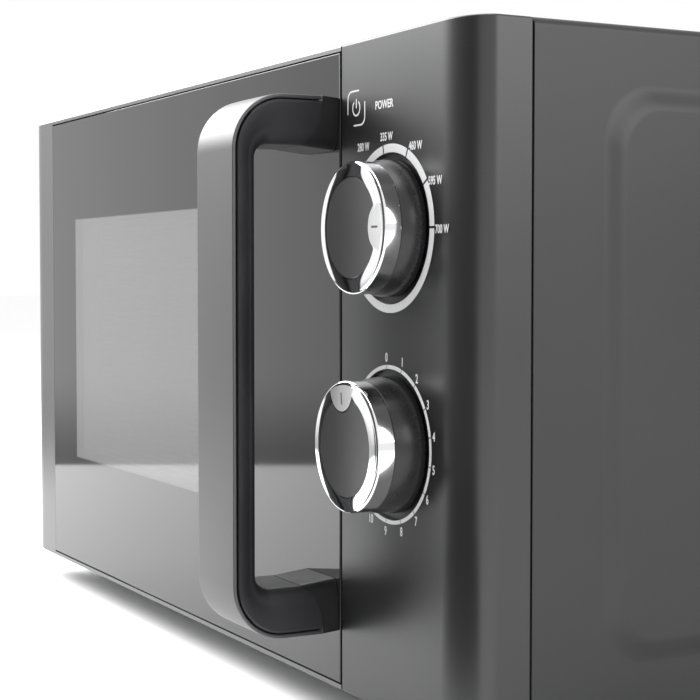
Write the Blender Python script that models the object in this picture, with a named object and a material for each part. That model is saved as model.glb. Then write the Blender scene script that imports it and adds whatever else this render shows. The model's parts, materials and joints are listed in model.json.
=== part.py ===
"""A countertop microwave oven: steel cabinet, side-hinged door with a strap handle, two dials, oven
cavity with a turntable, and the microwave, cooling and safety parts in the bay beside it.

The oven stands on Z = 0, faces -Y, and its bounding box is centred on X = 0 and Y = 0. Lengths are metres.
"""

import math

import bmesh
import bpy
from mathutils import Matrix, Vector

# Overall sizes
WIDTH = 0.462
BODY_HEIGHT = 0.243
BODY_DEPTH = 0.340
FOOT_HEIGHT = 0.015
HANDLE_REACH = 0.0445
STEEL = 0.0008
GAP = 0.0003

# Main planes
HALF = WIDTH / 2
BOTTOM = FOOT_HEIGHT
TOP = BOTTOM + BODY_HEIGHT
FRONT = (HANDLE_REACH - BODY_DEPTH) / 2
BACK = FRONT + BODY_DEPTH
SEAM = 0.1425                       # X of the line between door and control panel
SEAM_GAP = 0.0004                   # half of the slit between them
CORNER_X, CORNER_Y = 0.0185, 0.011  # half axes of the rounded front corners
FASCIA_DEPTH = 0.0235
DOOR_DEPTH = 0.0225
PLATE_Y = FRONT + 0.0240            # front face of the steel front plate
WRAP_Y = FRONT + 0.0246             # front edge of the cabinet wrap
REAR_PANEL_Y = BACK - 0.0060
INNER = HALF - STEEL - GAP          # half width inside the wrap

# Pressed panel on each side of the cabinet
PRESS_RISE, PRESS_SLOPE = 0.0020, 0.0090
PRESS_FRONT, PRESS_REAR = 0.0530, 0.0300
PRESS_TOP, PRESS_BOTTOM = 0.0205, 0.0215
PRESS_CORNER = 0.020

# Oven cavity
CAVITY_LEFT, CAVITY_RIGHT = -0.205, 0.100
CAVITY_FLOOR, CAVITY_CEILING = 0.0367, 0.2373
CAVITY_FRONT, CAVITY_BACK = PLATE_Y + STEEL + GAP, FRONT + 0.320
CAVITY_X = (CAVITY_LEFT + CAVITY_RIGHT) / 2
CAVITY_Y = (CAVITY_FRONT + CAVITY_BACK) / 2

# Door, in the closed position
HINGE_X, HINGE_Y = -0.2199, FRONT + 0.0118
HINGE_RADIUS = 0.0108               # the door's end turns inside this radius
HINGE_PIN_RADIUS = 0.0020
HINGE_ARM = 0.0015
GLASS_LEFT = -0.1925
GLASS_THICK = 0.0030
LIP = 0.0024
WINDOW = (-0.1600, 0.0710, 0.0780, 0.2080)   # left, right, bottom, top of the frame's opening
CHOKE = (-0.2130, 0.1215, 0.0275, 0.2465)    # outline of the steel choke pan
SCREEN = (-0.1760, 0.0840, 0.0640, 0.2180)   # outline of its raised middle

# Latch
HOOK_X, HOOK_THICK = 0.1300, 0.0030
HOOK_HEIGHTS = (0.095, 0.190)
HOOK_TIP = FRONT + 0.0440
SLIDE_BOTTOM, SLIDE_TOP = 0.078, 0.207
LATCH_POCKET = (0.1245, 0.1360, 0.060, 0.226)

# Handle: reach is measured forward from the door's face
HANDLE_CENTRE = BOTTOM + 0.1232
HANDLE_HEIGHT = 0.2015
HANDLE_RIGHT = SEAM - 0.0009
HANDLE_WIDTH = 0.0320
COVER_THICK = 0.0016
COVER_GAP = 0.0004
BEND_OUTER, BEND_INNER = 0.021, 0.0055
LEG_HEIGHT = 0.0165
GRIP_REACH = 0.0340
LEG_END, LEG_END_INNER = 0.0078, 0.0153

# Dials
KNOB_X = SEAM + 0.0355
KNOB_HEIGHTS = {"power": BOTTOM + 0.1738, "timer": BOTTOM + 0.0970}
RECESS_RADIUS, RECESS_DEPTH = 0.0268, 0.0014
KNOB_REACHES = {"power": 0.0160, "timer": 0.0185}
KNOB_DIRECTIONS = {"power": 0, "timer": 96}
KNOB_FRONT_RADIUS, KNOB_BACK_RADIUS = 0.0230, 0.0243
CAP_RADIUS = 0.0179
BEZEL_RADIUS, BEZEL_HEIGHT = 0.0233, 0.0070
BEZEL_FALL, BEZEL_SHOULDER = 0.0008, 0.0006
LOBE_RADIUS, LOBE_CENTRE = 0.0082, 0.0205
SHAFT_RADIUS, SHAFT_LENGTH = 0.0030, 0.0095

# Turntable
TRAY_RADIUS, TRAY_UNDERSIDE = 0.1225, 0.0523
ROLLER_RADIUS, ROLLER_WIDTH, ROLLER_CIRCLE = 0.0075, 0.0090, 0.0868
ROLLER_Z = CAVITY_FLOOR + GAP + ROLLER_RADIUS
AXLE_RADIUS = 0.0015

# Places
GLAND_X, GLAND_Z = 0.190, 0.048
LAMP_Y, LAMP_Z = FRONT + 0.239, 0.190
GUIDE = (FRONT + 0.120, FRONT + 0.215, 0.150, 0.222)
GUIDE_MOUTH = (FRONT + 0.132, FRONT + 0.203, 0.160, 0.205)
HINGE_ARM_HEIGHTS = (BOTTOM + 0.0045, TOP - 0.0045 - HINGE_ARM)
FOOT_PLACES = [(x, y) for x in (-0.195, 0.195) for y in (FRONT + 0.050, BACK - 0.045)]

# Cooling fan
FAN_X, FAN_Z, FAN_RADIUS = 0.168, 0.181, 0.046

FINISHES = {
    "graphite_paint": ((0.125, 0.125, 0.130), 0.42, 0.35),
    "graphite_plastic": ((0.090, 0.090, 0.093), 0.38, 0.10),
    "zinc_steel": ((0.560, 0.570, 0.580), 0.35, 1.00),
    "cavity_enamel": ((0.330, 0.335, 0.340), 0.35, 0.10),
    "mirror_glass": ((0.060, 0.060, 0.062), 0.06, 0.60),
    "black_plastic": ((0.012, 0.012, 0.013), 0.35, 0.00),
    "satin_silver": ((0.420, 0.420, 0.425), 0.30, 0.90),
    "chrome": ((0.800, 0.800, 0.800), 0.08, 1.00),
    "cap_grey": ((0.100, 0.100, 0.102), 0.45, 0.30),
    "mica": ((0.480, 0.440, 0.360), 0.60, 0.00),
    "clear_glass": ((0.800, 0.850, 0.830), 0.05, 0.00),
    "white_plastic": ((0.750, 0.740, 0.700), 0.45, 0.00),
    "rubber": ((0.020, 0.020, 0.020), 0.80, 0.00),
    "copper": ((0.620, 0.280, 0.140), 0.35, 1.00),
    "core_steel": ((0.180, 0.180, 0.190), 0.55, 0.80),
    "aluminium": ((0.750, 0.750, 0.760), 0.30, 1.00),
    "bulb_glass": ((0.900, 0.880, 0.820), 0.10, 0.00),
}
AXES = {"X": Matrix.Rotation(math.pi / 2, 4, "Y"), "Y": Matrix.Rotation(-math.pi / 2, 4, "X"),
        "Z": Matrix.Identity(4)}


# Modelling tools

def material(finish):
    """Returns the material of a named finish, made on first use."""
    found = bpy.data.materials.get(finish)
    if found:
        return found
    colour, roughness, metallic = FINISHES[finish]
    made = bpy.data.materials.new(finish)
    made.use_nodes = True
    shader = made.node_tree.nodes["Principled BSDF"]
    shader.inputs["Base Color"].default_value = (*colour, 1.0)
    shader.inputs["Roughness"].default_value = roughness
    shader.inputs["Metallic"].default_value = metallic
    return made


def block(x0, x1, y0, y1, z0, z1):
    """Returns a bmesh box between two planes on each axis."""
    shape = bmesh.new()
    bmesh.ops.create_cube(shape, size=1.0)
    bmesh.ops.scale(shape, vec=(x1 - x0, y1 - y0, z1 - z0), verts=shape.verts)
    middle = Vector((x0 + x1, y0 + y1, z0 + z1)) / 2
    bmesh.ops.translate(shape, vec=middle, verts=shape.verts)
    return shape


def prism(outline, axis, start, end):
    """Returns a closed outline extruded along an axis. The outline's pairs are the other two axes in order."""
    shape = bmesh.new()
    place = {
        "X": lambda a, b, h: (h, a, b),
        "Y": lambda a, b, h: (a, h, b),
        "Z": lambda a, b, h: (a, b, h),
    }[axis]
    face = shape.faces.new([shape.verts.new(place(a, b, start)) for a, b in outline])
    side = bmesh.ops.extrude_face_region(shape, geom=[face])
    moved = [v for v in side["geom"] if isinstance(v, bmesh.types.BMVert)]
    bmesh.ops.translate(shape, vec=place(0.0, 0.0, end - start), verts=moved)
    bmesh.ops.recalc_face_normals(shape, faces=shape.faces)
    return shape


def drum(centre, axis, radius, length, segments=32, end_radius=None):
    """Returns a cylinder or cone that starts at a centre point and runs along +axis."""
    shape = bmesh.new()
    bmesh.ops.create_cone(shape, cap_ends=True, segments=segments, radius1=radius,
                          radius2=radius if end_radius is None else end_radius, depth=length)
    bmesh.ops.translate(shape, vec=(0, 0, length / 2), verts=shape.verts)
    bmesh.ops.transform(shape, matrix=Matrix.Translation(centre) @ AXES[axis], verts=shape.verts)
    return shape


def turned(profile, centre, axis, segments=32):
    """Returns a closed (radius, height) profile turned round an axis through a centre point."""
    shape = bmesh.new()
    rim = [shape.verts.new((radius, 0.0, height)) for radius, height in profile]
    edges = [shape.edges.new((a, b)) for a, b in zip(rim, rim[1:] + rim[:1])]
    bmesh.ops.spin(shape, geom=rim + edges, cent=(0, 0, 0), axis=(0, 0, 1), angle=math.tau,
                   steps=segments, use_merge=True)
    bmesh.ops.remove_doubles(shape, verts=shape.verts, dist=1e-6)
    bmesh.ops.transform(shape, matrix=Matrix.Translation(centre) @ AXES[axis], verts=shape.verts)
    bmesh.ops.recalc_face_normals(shape, faces=shape.faces)
    return shape


def arc(centre, radii, start, end, steps):
    """Returns points of an elliptical arc, with angles in degrees from the first axis."""
    angles = [math.radians(start + (end - start) * i / steps) for i in range(steps + 1)]
    return [(centre[0] + radii[0] * math.cos(a), centre[1] + radii[1] * math.sin(a)) for a in angles]


def rounded(a0, a1, b0, b1, radius, steps=4):
    """Returns the outline of a rectangle with round corners."""
    corners = (((a1 - radius, b0 + radius), -90), ((a1 - radius, b1 - radius), 0),
               ((a0 + radius, b1 - radius), 90), ((a0 + radius, b0 + radius), 180))
    return [p for centre, start in corners for p in arc(centre, (radius, radius), start, start + 90, steps)]


def make(name, shape, finish, smooth=30):
    """Turns a bmesh into a named object with a finish and smooth shading below an angle in degrees."""
    mesh = bpy.data.meshes.new(name)
    shape.to_mesh(mesh)
    shape.free()
    mesh.materials.append(material(finish))
    mesh.shade_smooth()
    mesh.set_sharp_from_angle(angle=math.radians(smooth))
    made = bpy.data.objects.new(name, mesh)
    bpy.context.scene.collection.objects.link(made)
    return made


def combine(body, shapes, operation):
    """Applies one Boolean for each bmesh in a list to an object's own mesh."""
    for shape in shapes:
        tool = make("tool", shape, "black_plastic")
        change = body.modifiers.new("change", "BOOLEAN")
        change.operation = operation
        change.solver = "EXACT"
        change.object = tool
        result = body.evaluated_get(bpy.context.evaluated_depsgraph_get())
        mesh = bpy.data.meshes.new_from_object(result)
        mesh.shade_smooth()
        mesh.set_sharp_from_angle(angle=math.radians(30))
        body.modifiers.clear()
        old, body.data = body.data, mesh
        bpy.data.meshes.remove(old)
        bpy.data.meshes.remove(tool.data)
    body.data.name = body.name
    return body


def cut(body, *shapes):
    """Cuts shapes out of an object."""
    return combine(body, shapes, "DIFFERENCE")


def add(body, *shapes):
    """Joins shapes to an object as one solid."""
    return combine(body, shapes, "UNION")


def pivot(name, place, pieces):
    """Puts an empty on a joint's axis and hangs pieces on it where they are."""
    empty = bpy.data.objects.new(name, None)
    bpy.context.scene.collection.objects.link(empty)
    empty.location = place
    for piece in pieces:
        piece.data.transform(Matrix.Translation(-Vector(place)))
        piece.parent = empty
    return empty


def soften(shape, width, segments, chosen):
    """Bevels the edges of a bmesh that pass a test."""
    bmesh.ops.bevel(shape, geom=[e for e in shape.edges if chosen(e)], offset=width, segments=segments,
                    profile=0.5, affect="EDGES", material=-1)
    return shape


def at_ends(axis_index, *planes):
    """Returns a test for edges that lie in one of some planes."""
    def chosen(edge):
        heights = [v.co[axis_index] for v in edge.verts]
        return any(all(abs(h - plane) < 1e-6 for h in heights) for plane in planes)
    return chosen


# Cabinet

def pressed_shape(side, inset, low, high):
    """Returns the tapered block of a side's pressed panel, between two distances from the flat side."""
    y0, y1 = FRONT + PRESS_FRONT, BACK - PRESS_REAR
    z0, z1 = BOTTOM + PRESS_BOTTOM, TOP - PRESS_TOP
    shape = bmesh.new()
    loops = []
    for distance in (low, high):
        shrink = inset + PRESS_SLOPE * distance / PRESS_RISE
        outline = rounded(y0 + shrink, y1 - shrink, z0 + shrink, z1 - shrink, PRESS_CORNER - shrink / 2, 5)
        loops.append([shape.verts.new((side * (HALF + distance), y, z)) for y, z in outline])
    for loop in loops:
        shape.faces.new(loop)
    for i, vert in enumerate(loops[0]):
        j = (i + 1) % len(loops[0])
        shape.faces.new((vert, loops[0][j], loops[1][j], loops[1][i]))
    bmesh.ops.recalc_face_normals(shape, faces=shape.faces)
    return shape


def cabinet_wrap():
    """The folded steel wrap: top and both sides in one sheet, each side with a pressed panel."""
    bend, wall = 0.0030, STEEL
    outer = ([(-HALF, BOTTOM), (-HALF, TOP - bend)]
             + arc((-HALF + bend, TOP - bend), (bend, bend), 180, 90, 3)[1:]
             + arc((HALF - bend, TOP - bend), (bend, bend), 90, 0, 3) + [(HALF, BOTTOM)])
    inner = ([(HALF - wall, BOTTOM)]
             + arc((HALF - bend, TOP - bend), (bend - wall, bend - wall), 0, 90, 3)
             + arc((-HALF + bend, TOP - bend), (bend - wall, bend - wall), 90, 180, 3)
             + [(-HALF + wall, BOTTOM)])
    wrap = make("cabinet_wrap", prism(outer + inner, "Y", WRAP_Y, BACK), "graphite_paint")
    for side in (-1, 1):
        add(wrap, pressed_shape(side, 0.0, -STEEL / 2, PRESS_RISE))
        cut(wrap, pressed_shape(side, STEEL, -STEEL * 2, PRESS_RISE - STEEL))
    slots = [block(-HALF - 0.01, -HALF + 0.01, BACK - 0.0260, BACK - 0.0110, z, z + 0.0030)
             for z in (BOTTOM + 0.050 + 0.008 * i for i in range(16))]
    return cut(wrap, *slots)


def inner_outline():
    """Returns the outline of a sheet that closes the wrap's front or back, round at its upper corners."""
    low, high, bend = BOTTOM + GAP, TOP - STEEL - GAP, 0.0030
    return ([(-INNER, low), (INNER, low)] + arc((INNER - bend, high - bend), (bend, bend), 0, 90, 3)
            + arc((-INNER + bend, high - bend), (bend, bend), 90, 180, 3))


def base_plate():
    """The steel floor of the cabinet, a shallow tray with cooling slots under the parts bay."""
    front, rear, rim = PLATE_Y + STEEL + 0.0004, REAR_PANEL_Y - GAP, 0.010
    base = make("base_plate", block(-INNER, INNER, front, rear, BOTTOM, BOTTOM + rim), "zinc_steel")
    cut(base, block(-INNER + STEEL, INNER - STEEL, front + STEEL, rear - STEEL, BOTTOM + STEEL, BOTTOM + 1))
    slots = [block(0.108, 0.176, y, y + 0.0035, BOTTOM - 0.01, BOTTOM + 0.01)
             for y in (FRONT + 0.040 + 0.010 * i for i in range(8))]
    return cut(base, *slots)


def rear_panel():
    """The back sheet, with the fan's outlet slots, the cavity's vent slots and the hole for the mains lead."""
    panel = make("rear_panel", prism(inner_outline(), "Y", REAR_PANEL_Y, REAR_PANEL_Y + STEEL), "graphite_paint")
    y0, y1 = REAR_PANEL_Y - 0.01, REAR_PANEL_Y + 0.01
    outlet = [block(x, x + 0.0035, y0, y1, z, z + 0.022)
              for x in (0.126 + 0.0085 * i for i in range(10)) for z in (0.140, 0.170, 0.200)]
    vents = [block(x, x + 0.0200, y0, y1, z, z + 0.0030)
             for x in (-0.180, -0.152, -0.124) for z in (0.190 + 0.0075 * i for i in range(5))]
    return cut(panel, *outlet, *vents, drum((GLAND_X, y0, GLAND_Z), "Y", 0.0078, 0.02, 24))


def front_plate():
    """The steel face round the oven's mouth, with slots for the latch hooks and an opening for the controls."""
    plate = make("front_plate", prism(inner_outline(), "Y", PLATE_Y, PLATE_Y + STEEL), "graphite_paint")
    y0, y1 = PLATE_Y - 0.01, PLATE_Y + 0.01
    mouth = block(CAVITY_LEFT, CAVITY_RIGHT, y0, y1, CAVITY_FLOOR, CAVITY_CEILING)
    hooks = [block(HOOK_X - 0.0045, HOOK_X + 0.0045, y0, y1, z - 0.0125, z + 0.0115) for z in HOOK_HEIGHTS]
    controls = block(0.1490, 0.2200, y0, y1, 0.0600, 0.2300)
    return cut(plate, mouth, controls, *hooks)


def cavity():
    """The oven's five welded panels."""
    x0, x1, y0, y1 = CAVITY_LEFT, CAVITY_RIGHT, CAVITY_FRONT, CAVITY_BACK
    z0, z1, step = CAVITY_FLOOR, CAVITY_CEILING, STEEL
    left = make("cavity_left_wall", block(x0 - step, x0, y0, y1, z0 + GAP, z1 - GAP), "cavity_enamel")
    right = make("cavity_right_wall", block(x1, x1 + step, y0, y1, z0 + GAP, z1 - GAP), "cavity_enamel")
    floor = make("cavity_floor", block(x0 - step, x1 + step, y0, y1, z0 - step, z0), "cavity_enamel")
    ceiling = make("cavity_ceiling", block(x0 - step, x1 + step, y0, y1, z1, z1 + step), "cavity_enamel")
    back = make("cavity_back", block(x0 - step, x1 + step, y1 + GAP, y1 + GAP + step, z0 - step, z1 + step),
                "cavity_enamel")
    cut(floor, drum((CAVITY_X, CAVITY_Y, z0 - 0.01), "Z", 0.0085, 0.02, 24))
    lamp_slots = [block(x1 - 0.01, x1 + 0.01, y, y + 0.0025, LAMP_Z - 0.010, LAMP_Z + 0.010)
                  for y in (LAMP_Y - 0.0105 + 0.0062 * i for i in range(4))]
    inlet = [block(x1 - 0.01, x1 + 0.01, y, y + 0.0025, 0.170, 0.200)
             for y in (FRONT + 0.060 + 0.0062 * i for i in range(6))]
    cut(right, block(x1 - 0.01, x1 + 0.01, *GUIDE_MOUTH), *lamp_slots, *inlet)
    outlet = [block(x0 - 0.01, x0 + 0.01, y, y + 0.0025, 0.170, 0.200)
              for y in (CAVITY_BACK - 0.060 + 0.0062 * i for i in range(6))]
    cut(left, *outlet)
    return left, right, floor, ceiling, back


def feet():
    """Four moulded feet under the base plate."""
    for i, (x, y) in enumerate(FOOT_PLACES, start=1):
        foot = turned([(0, 0), (0.0095, 0), (0.0110, 0.0015), (0.0125, BOTTOM - GAP), (0, BOTTOM - GAP)],
                      (x, y, 0), "Z", 20)
        make(f"foot_{i}", foot, "rubber")


def cord_gland():
    """The bush in the rear panel that the mains lead would pass through."""
    y = REAR_PANEL_Y
    profile = [(0.0040, -0.0060), (0.0074, -0.0060), (0.0074, STEEL + GAP), (0.0105, STEEL + GAP),
               (0.0095, 0.0042), (0.0040, 0.0042)]
    return make("cord_gland", turned(profile, (GLAND_X, y, GLAND_Z), "Y", 24), "black_plastic")


# Door

def door_outline(front, rear):
    """Returns the door's plan outline, with its round front corner and the corner that turns past the hinge."""
    right = SEAM - SEAM_GAP
    left = HINGE_X - HINGE_RADIUS
    end_angle = 180 - math.degrees(math.asin((rear - HINGE_Y) / HINGE_RADIUS))
    corner = arc((left + CORNER_X, front + CORNER_Y), (CORNER_X, CORNER_Y), 270, 180, 6)
    back = arc((HINGE_X, HINGE_Y), (HINGE_RADIUS, HINGE_RADIUS), 180, end_angle, 3)
    return [(right, rear), (right, front)] + corner + back


def door_frame():
    """The moulded door frame, with pockets for the glass, the choke pan and the latch slide."""
    rear = FRONT + DOOR_DEPTH
    low, high = BOTTOM + GAP, TOP - GAP
    shape = prism(door_outline(FRONT, rear), "Z", low, high)
    soften(shape, 0.0007, 2, at_ends(2, low, high))
    frame = make("door_frame", shape, "graphite_plastic")
    glass = block(GLASS_LEFT - GAP, SEAM + 0.01, FRONT - 0.01, FRONT + GLASS_THICK + GAP, BOTTOM + LIP, TOP - LIP)
    pan = block(CHOKE[0] - 0.0005, CHOKE[1] + 0.0005, FRONT + 0.0055, rear + 0.01, CHOKE[2] - 0.0005,
                CHOKE[3] + 0.0005)
    window = block(WINDOW[0], WINDOW[1], FRONT - 0.01, FRONT + 0.01, WINDOW[2], WINDOW[3])
    latch = block(LATCH_POCKET[0], LATCH_POCKET[1], FRONT + 0.0065, rear + 0.01, LATCH_POCKET[2], LATCH_POCKET[3])
    slots = []
    for z in HINGE_ARM_HEIGHTS:
        slots.append(block(-HALF - 0.01, HINGE_X + 0.0070, HINGE_Y - 0.0070, rear + 0.01, z - 0.0006,
                           z + HINGE_ARM + 0.0006))
    pins = [drum((HINGE_X, HINGE_Y, z), "Z", HINGE_PIN_RADIUS + GAP, 0.0080, 16)
            for z in (HINGE_ARM_HEIGHTS[0], HINGE_ARM_HEIGHTS[1] + HINGE_ARM - 0.0080)]
    return cut(frame, glass, pan, window, latch, *slots, *pins)


def door_glass():
    """The tinted mirror plate that covers the door's face, edge to edge inside thin lips."""
    return make("door_glass", soften(block(GLASS_LEFT, SEAM - SEAM_GAP - 0.0006, FRONT - 0.0002,
                                           FRONT + GLASS_THICK, BOTTOM + LIP + 0.0005, TOP - LIP - 0.0005),
                                     0.0003, 1, at_ends(1, FRONT - 0.0002)), "mirror_glass")


def door_screen():
    """The steel choke pan: a channel all round and a raised screen in the middle."""
    x0, x1, z0, z1 = CHOKE
    a0, a1, b0, b1 = SCREEN
    front, rear = FRONT + 0.0060, FRONT + 0.0198
    pan = make("door_screen", block(x0, x1, front, rear, z0, z1), "zinc_steel")
    cut(pan, block(a0 + STEEL, a1 - STEEL, front - 0.01, rear - STEEL, b0 + STEEL, b1 - STEEL))
    depth = front + STEEL
    cut(pan, block(x0 + STEEL, a0, depth, rear + 0.01, z0 + STEEL, z1 - STEEL),
        block(a1, x1 - STEEL, depth, rear + 0.01, z0 + STEEL, z1 - STEEL),
        block(a0 - 0.001, a1 + 0.001, depth, rear + 0.01, z0 + STEEL, b0),
        block(a0 - 0.001, a1 + 0.001, depth, rear + 0.01, b1, z1 - STEEL))
    return pan


def choke_cover():
    """The plastic ring that closes the choke channel on the door's inner side."""
    x0, x1, z0, z1 = CHOKE
    a0, a1, b0, b1 = SCREEN
    y0, y1 = FRONT + 0.0202, FRONT + 0.0222
    ring = make("door_choke_cover", block(x0 + 0.0004, x1 - 0.0004, y0, y1, z0 + 0.0004, z1 - 0.0004),
                "black_plastic")
    return cut(ring, block(a0 + 0.004, a1 - 0.004, y0 - 0.01, y1 + 0.01, b0 + 0.004, b1 - 0.004))


def door_film():
    """The clear inner pane behind the screen."""
    a0, a1, b0, b1 = SCREEN
    return make("door_inner_pane", block(a0 + 0.0045, a1 - 0.0045, FRONT + 0.0202, FRONT + 0.0212, b0 + 0.0045,
                                         b1 - 0.0045), "clear_glass")


def leg_end(sign, shift=0.0):
    """Returns the curve where a handle leg meets its foot, from the outer to the inner side of the leg."""
    outer = HANDLE_CENTRE + sign * HANDLE_HEIGHT / 2
    curve = []
    for reach, depth in ((LEG_END, 0.0), (LEG_END + 0.0002, 0.005), (LEG_END + 0.0010, 0.0095),
                         (LEG_END + 0.0031, 0.0140), (LEG_END_INNER, LEG_HEIGHT + 0.0020)):
        curve.append((FRONT - reach + shift, outer - sign * depth))
    return curve


def handle_profile(inset):
    """Returns the outer line of the handle's U, bent round both corners, an inset behind its front."""
    reach, radius = FRONT - HANDLE_REACH + inset, BEND_OUTER - inset
    top = HANDLE_CENTRE + HANDLE_HEIGHT / 2 - inset
    bottom = HANDLE_CENTRE - HANDLE_HEIGHT / 2 + inset
    upper = arc((reach + radius, top - radius), (radius, radius), 90, 180, 7)
    lower = arc((reach + radius, bottom + radius), (radius, radius), 180, 270, 7)
    return [*upper, *lower]


def handle_body():
    """The handle's black core: a strap bent towards the door at both ends, round along its edges."""
    skin = COVER_THICK + COVER_GAP
    outer = handle_profile(skin)
    grip = FRONT - GRIP_REACH
    top = HANDLE_CENTRE + HANDLE_HEIGHT / 2 - skin - LEG_HEIGHT
    bottom = HANDLE_CENTRE - HANDLE_HEIGHT / 2 + skin + LEG_HEIGHT
    r = BEND_INNER
    inner = (arc((grip + r, bottom + r), (r, r), 270, 180, 3) + arc((grip + r, top - r), (r, r), 180, 90, 3))
    upper_end = [(y, min(z, HANDLE_CENTRE + HANDLE_HEIGHT / 2 - skin)) for y, z in leg_end(1)]
    lower_end = [(y, max(z, HANDLE_CENTRE - HANDLE_HEIGHT / 2 + skin)) for y, z in leg_end(-1)]
    outline = outer + lower_end + inner + upper_end[::-1]
    x0, x1 = HANDLE_RIGHT - HANDLE_WIDTH, HANDLE_RIGHT
    shape = prism(outline, "X", x0, x1)

    def rear_edge(edge):
        middle = (edge.verts[0].co + edge.verts[1].co) / 2
        inside = bottom - 0.001 < middle.z < top + 0.001 and middle.y < FRONT - LEG_END_INNER - 0.0005
        return at_ends(0, x0, x1)(edge) and inside
    soften(shape, 0.0032, 3, rear_edge)
    return make("handle_body", shape, "black_plastic", 40)


def handle_cover():
    """The satin strip that faces the handle from door to door."""
    outer = handle_profile(0.0)
    inner = handle_profile(COVER_THICK)
    end = FRONT - LEG_END
    outline = ([(end, outer[0][1])] + outer + [(end, outer[-1][1]), (end, inner[-1][1])]
               + inner[::-1] + [(end, inner[0][1])])
    x0, x1 = HANDLE_RIGHT - HANDLE_WIDTH, HANDLE_RIGHT
    return make("handle_cover", prism(outline, "X", x0, x1), "satin_silver")


def handle_foot(name, sign):
    """A black foot between the door's face and one leg of the handle."""
    outer = HANDLE_CENTRE + sign * HANDLE_HEIGHT / 2
    touch = FRONT - 0.0005
    curve = leg_end(sign, shift=GAP + 0.0001)
    outline = curve + [(touch, outer - sign * (LEG_HEIGHT + 0.0035)), (touch, outer - sign * 0.0006)]
    shape = prism(outline, "X", HANDLE_RIGHT - HANDLE_WIDTH + 0.0004, HANDLE_RIGHT - 0.0004)
    return make(name, shape, "black_plastic")


def latch_slide():
    """The sprung slide in the door's edge, with the two hooks that enter the cabinet."""
    y0, y1 = FRONT + 0.0075, FRONT + 0.0195
    slide = make("latch_slide", block(HOOK_X - 0.0030, HOOK_X + 0.0030, y0, y1, SLIDE_BOTTOM, SLIDE_TOP),
                 "white_plastic")
    for z in HOOK_HEIGHTS:
        arm = [(y1 - 0.004, z - 0.0055), (HOOK_TIP - 0.002, z - 0.0055), (HOOK_TIP, z - 0.0030),
               (HOOK_TIP, z + 0.0005), (HOOK_TIP - 0.0085, z + 0.0085), (HOOK_TIP - 0.0085, z + 0.0035),
               (y1 - 0.004, z + 0.0035)]
        add(slide, prism(arm, "X", HOOK_X - HOOK_THICK / 2, HOOK_X + HOOK_THICK / 2))
    return slide


def hinge(name, z, inward):
    """A hinge bracket: a tab on the front plate, an arm over the door's end and a pin into the door."""
    y1 = PLATE_Y - GAP
    arm = ([(HINGE_X + 0.0048, y1)] + arc((HINGE_X, HINGE_Y), (0.0048, 0.0048), 0, -180, 6)
           + [(HINGE_X - 0.0048, y1)])
    bracket = make(name, prism(arm, "Z", z, z + HINGE_ARM), "zinc_steel")
    height = 0.0070
    start = z + HINGE_ARM / 2 if inward > 0 else z + HINGE_ARM / 2 - height
    low, high = (z, z + 0.020) if inward > 0 else (z + HINGE_ARM - 0.020, z + HINGE_ARM)
    tab = block(HINGE_X - 0.0048, HINGE_X + 0.0048, y1 - 0.0008, y1, low, high)
    return add(bracket, drum((HINGE_X, HINGE_Y, start), "Z", HINGE_PIN_RADIUS, height, 16), tab)


# Controls

def control_fascia():
    """The moulded control panel, round at its outer front corner, with a round recess behind each dial."""
    left, rear = SEAM + SEAM_GAP, FRONT + FASCIA_DEPTH
    low, high = BOTTOM + GAP, TOP - GAP
    corner = arc((HALF - CORNER_X, FRONT + CORNER_Y), (CORNER_X, CORNER_Y), 270, 360, 8)
    shape = prism([(left, rear), (left, FRONT)] + corner + [(HALF, rear)], "Z", low, high)
    soften(shape, 0.0008, 2, at_ends(2, low, high))
    fascia = make("control_fascia", shape, "graphite_plastic")
    wall = 0.0025
    inner = arc((HALF - CORNER_X, FRONT + CORNER_Y), (CORNER_X - wall, CORNER_Y - wall), 270, 360, 6)
    hollow = prism([(left + wall, rear + 0.01), (left + wall, FRONT + wall)] + inner
                   + [(HALF - wall, rear + 0.01)], "Z", low + wall, high - wall)
    recesses = [drum((KNOB_X, FRONT - 0.01, z), "Y", RECESS_RADIUS, 0.01 + RECESS_DEPTH, 40)
                for z in KNOB_HEIGHTS.values()]
    bores = [drum((KNOB_X, FRONT - 0.01, z), "Y", SHAFT_RADIUS + 0.0010, 0.02, 20) for z in KNOB_HEIGHTS.values()]
    return cut(fascia, hollow, *recesses, *bores)


def bezel_outline(radius, lobe_radius, direction):
    """Returns the inner line of a dial's bezel: a circle with a round pointer lobe that dips into it."""
    reach = LOBE_CENTRE
    offset = (radius ** 2 + reach ** 2 - lobe_radius ** 2) / (2 * reach)
    half = math.degrees(math.acos(offset / radius))
    turn = math.degrees(math.atan2(math.sin(math.radians(half)) * radius,
                                   math.cos(math.radians(half)) * radius - reach))
    around = arc((0, 0), (radius, radius), half, 360 - half, 30)
    lobe = arc((reach, 0), (lobe_radius, lobe_radius), 360 - turn, turn, 8)[1:-1]
    angle = math.radians(direction)
    return [(x * math.cos(angle) - z * math.sin(angle), x * math.sin(angle) + z * math.cos(angle))
            for x, z in around + lobe]


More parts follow.
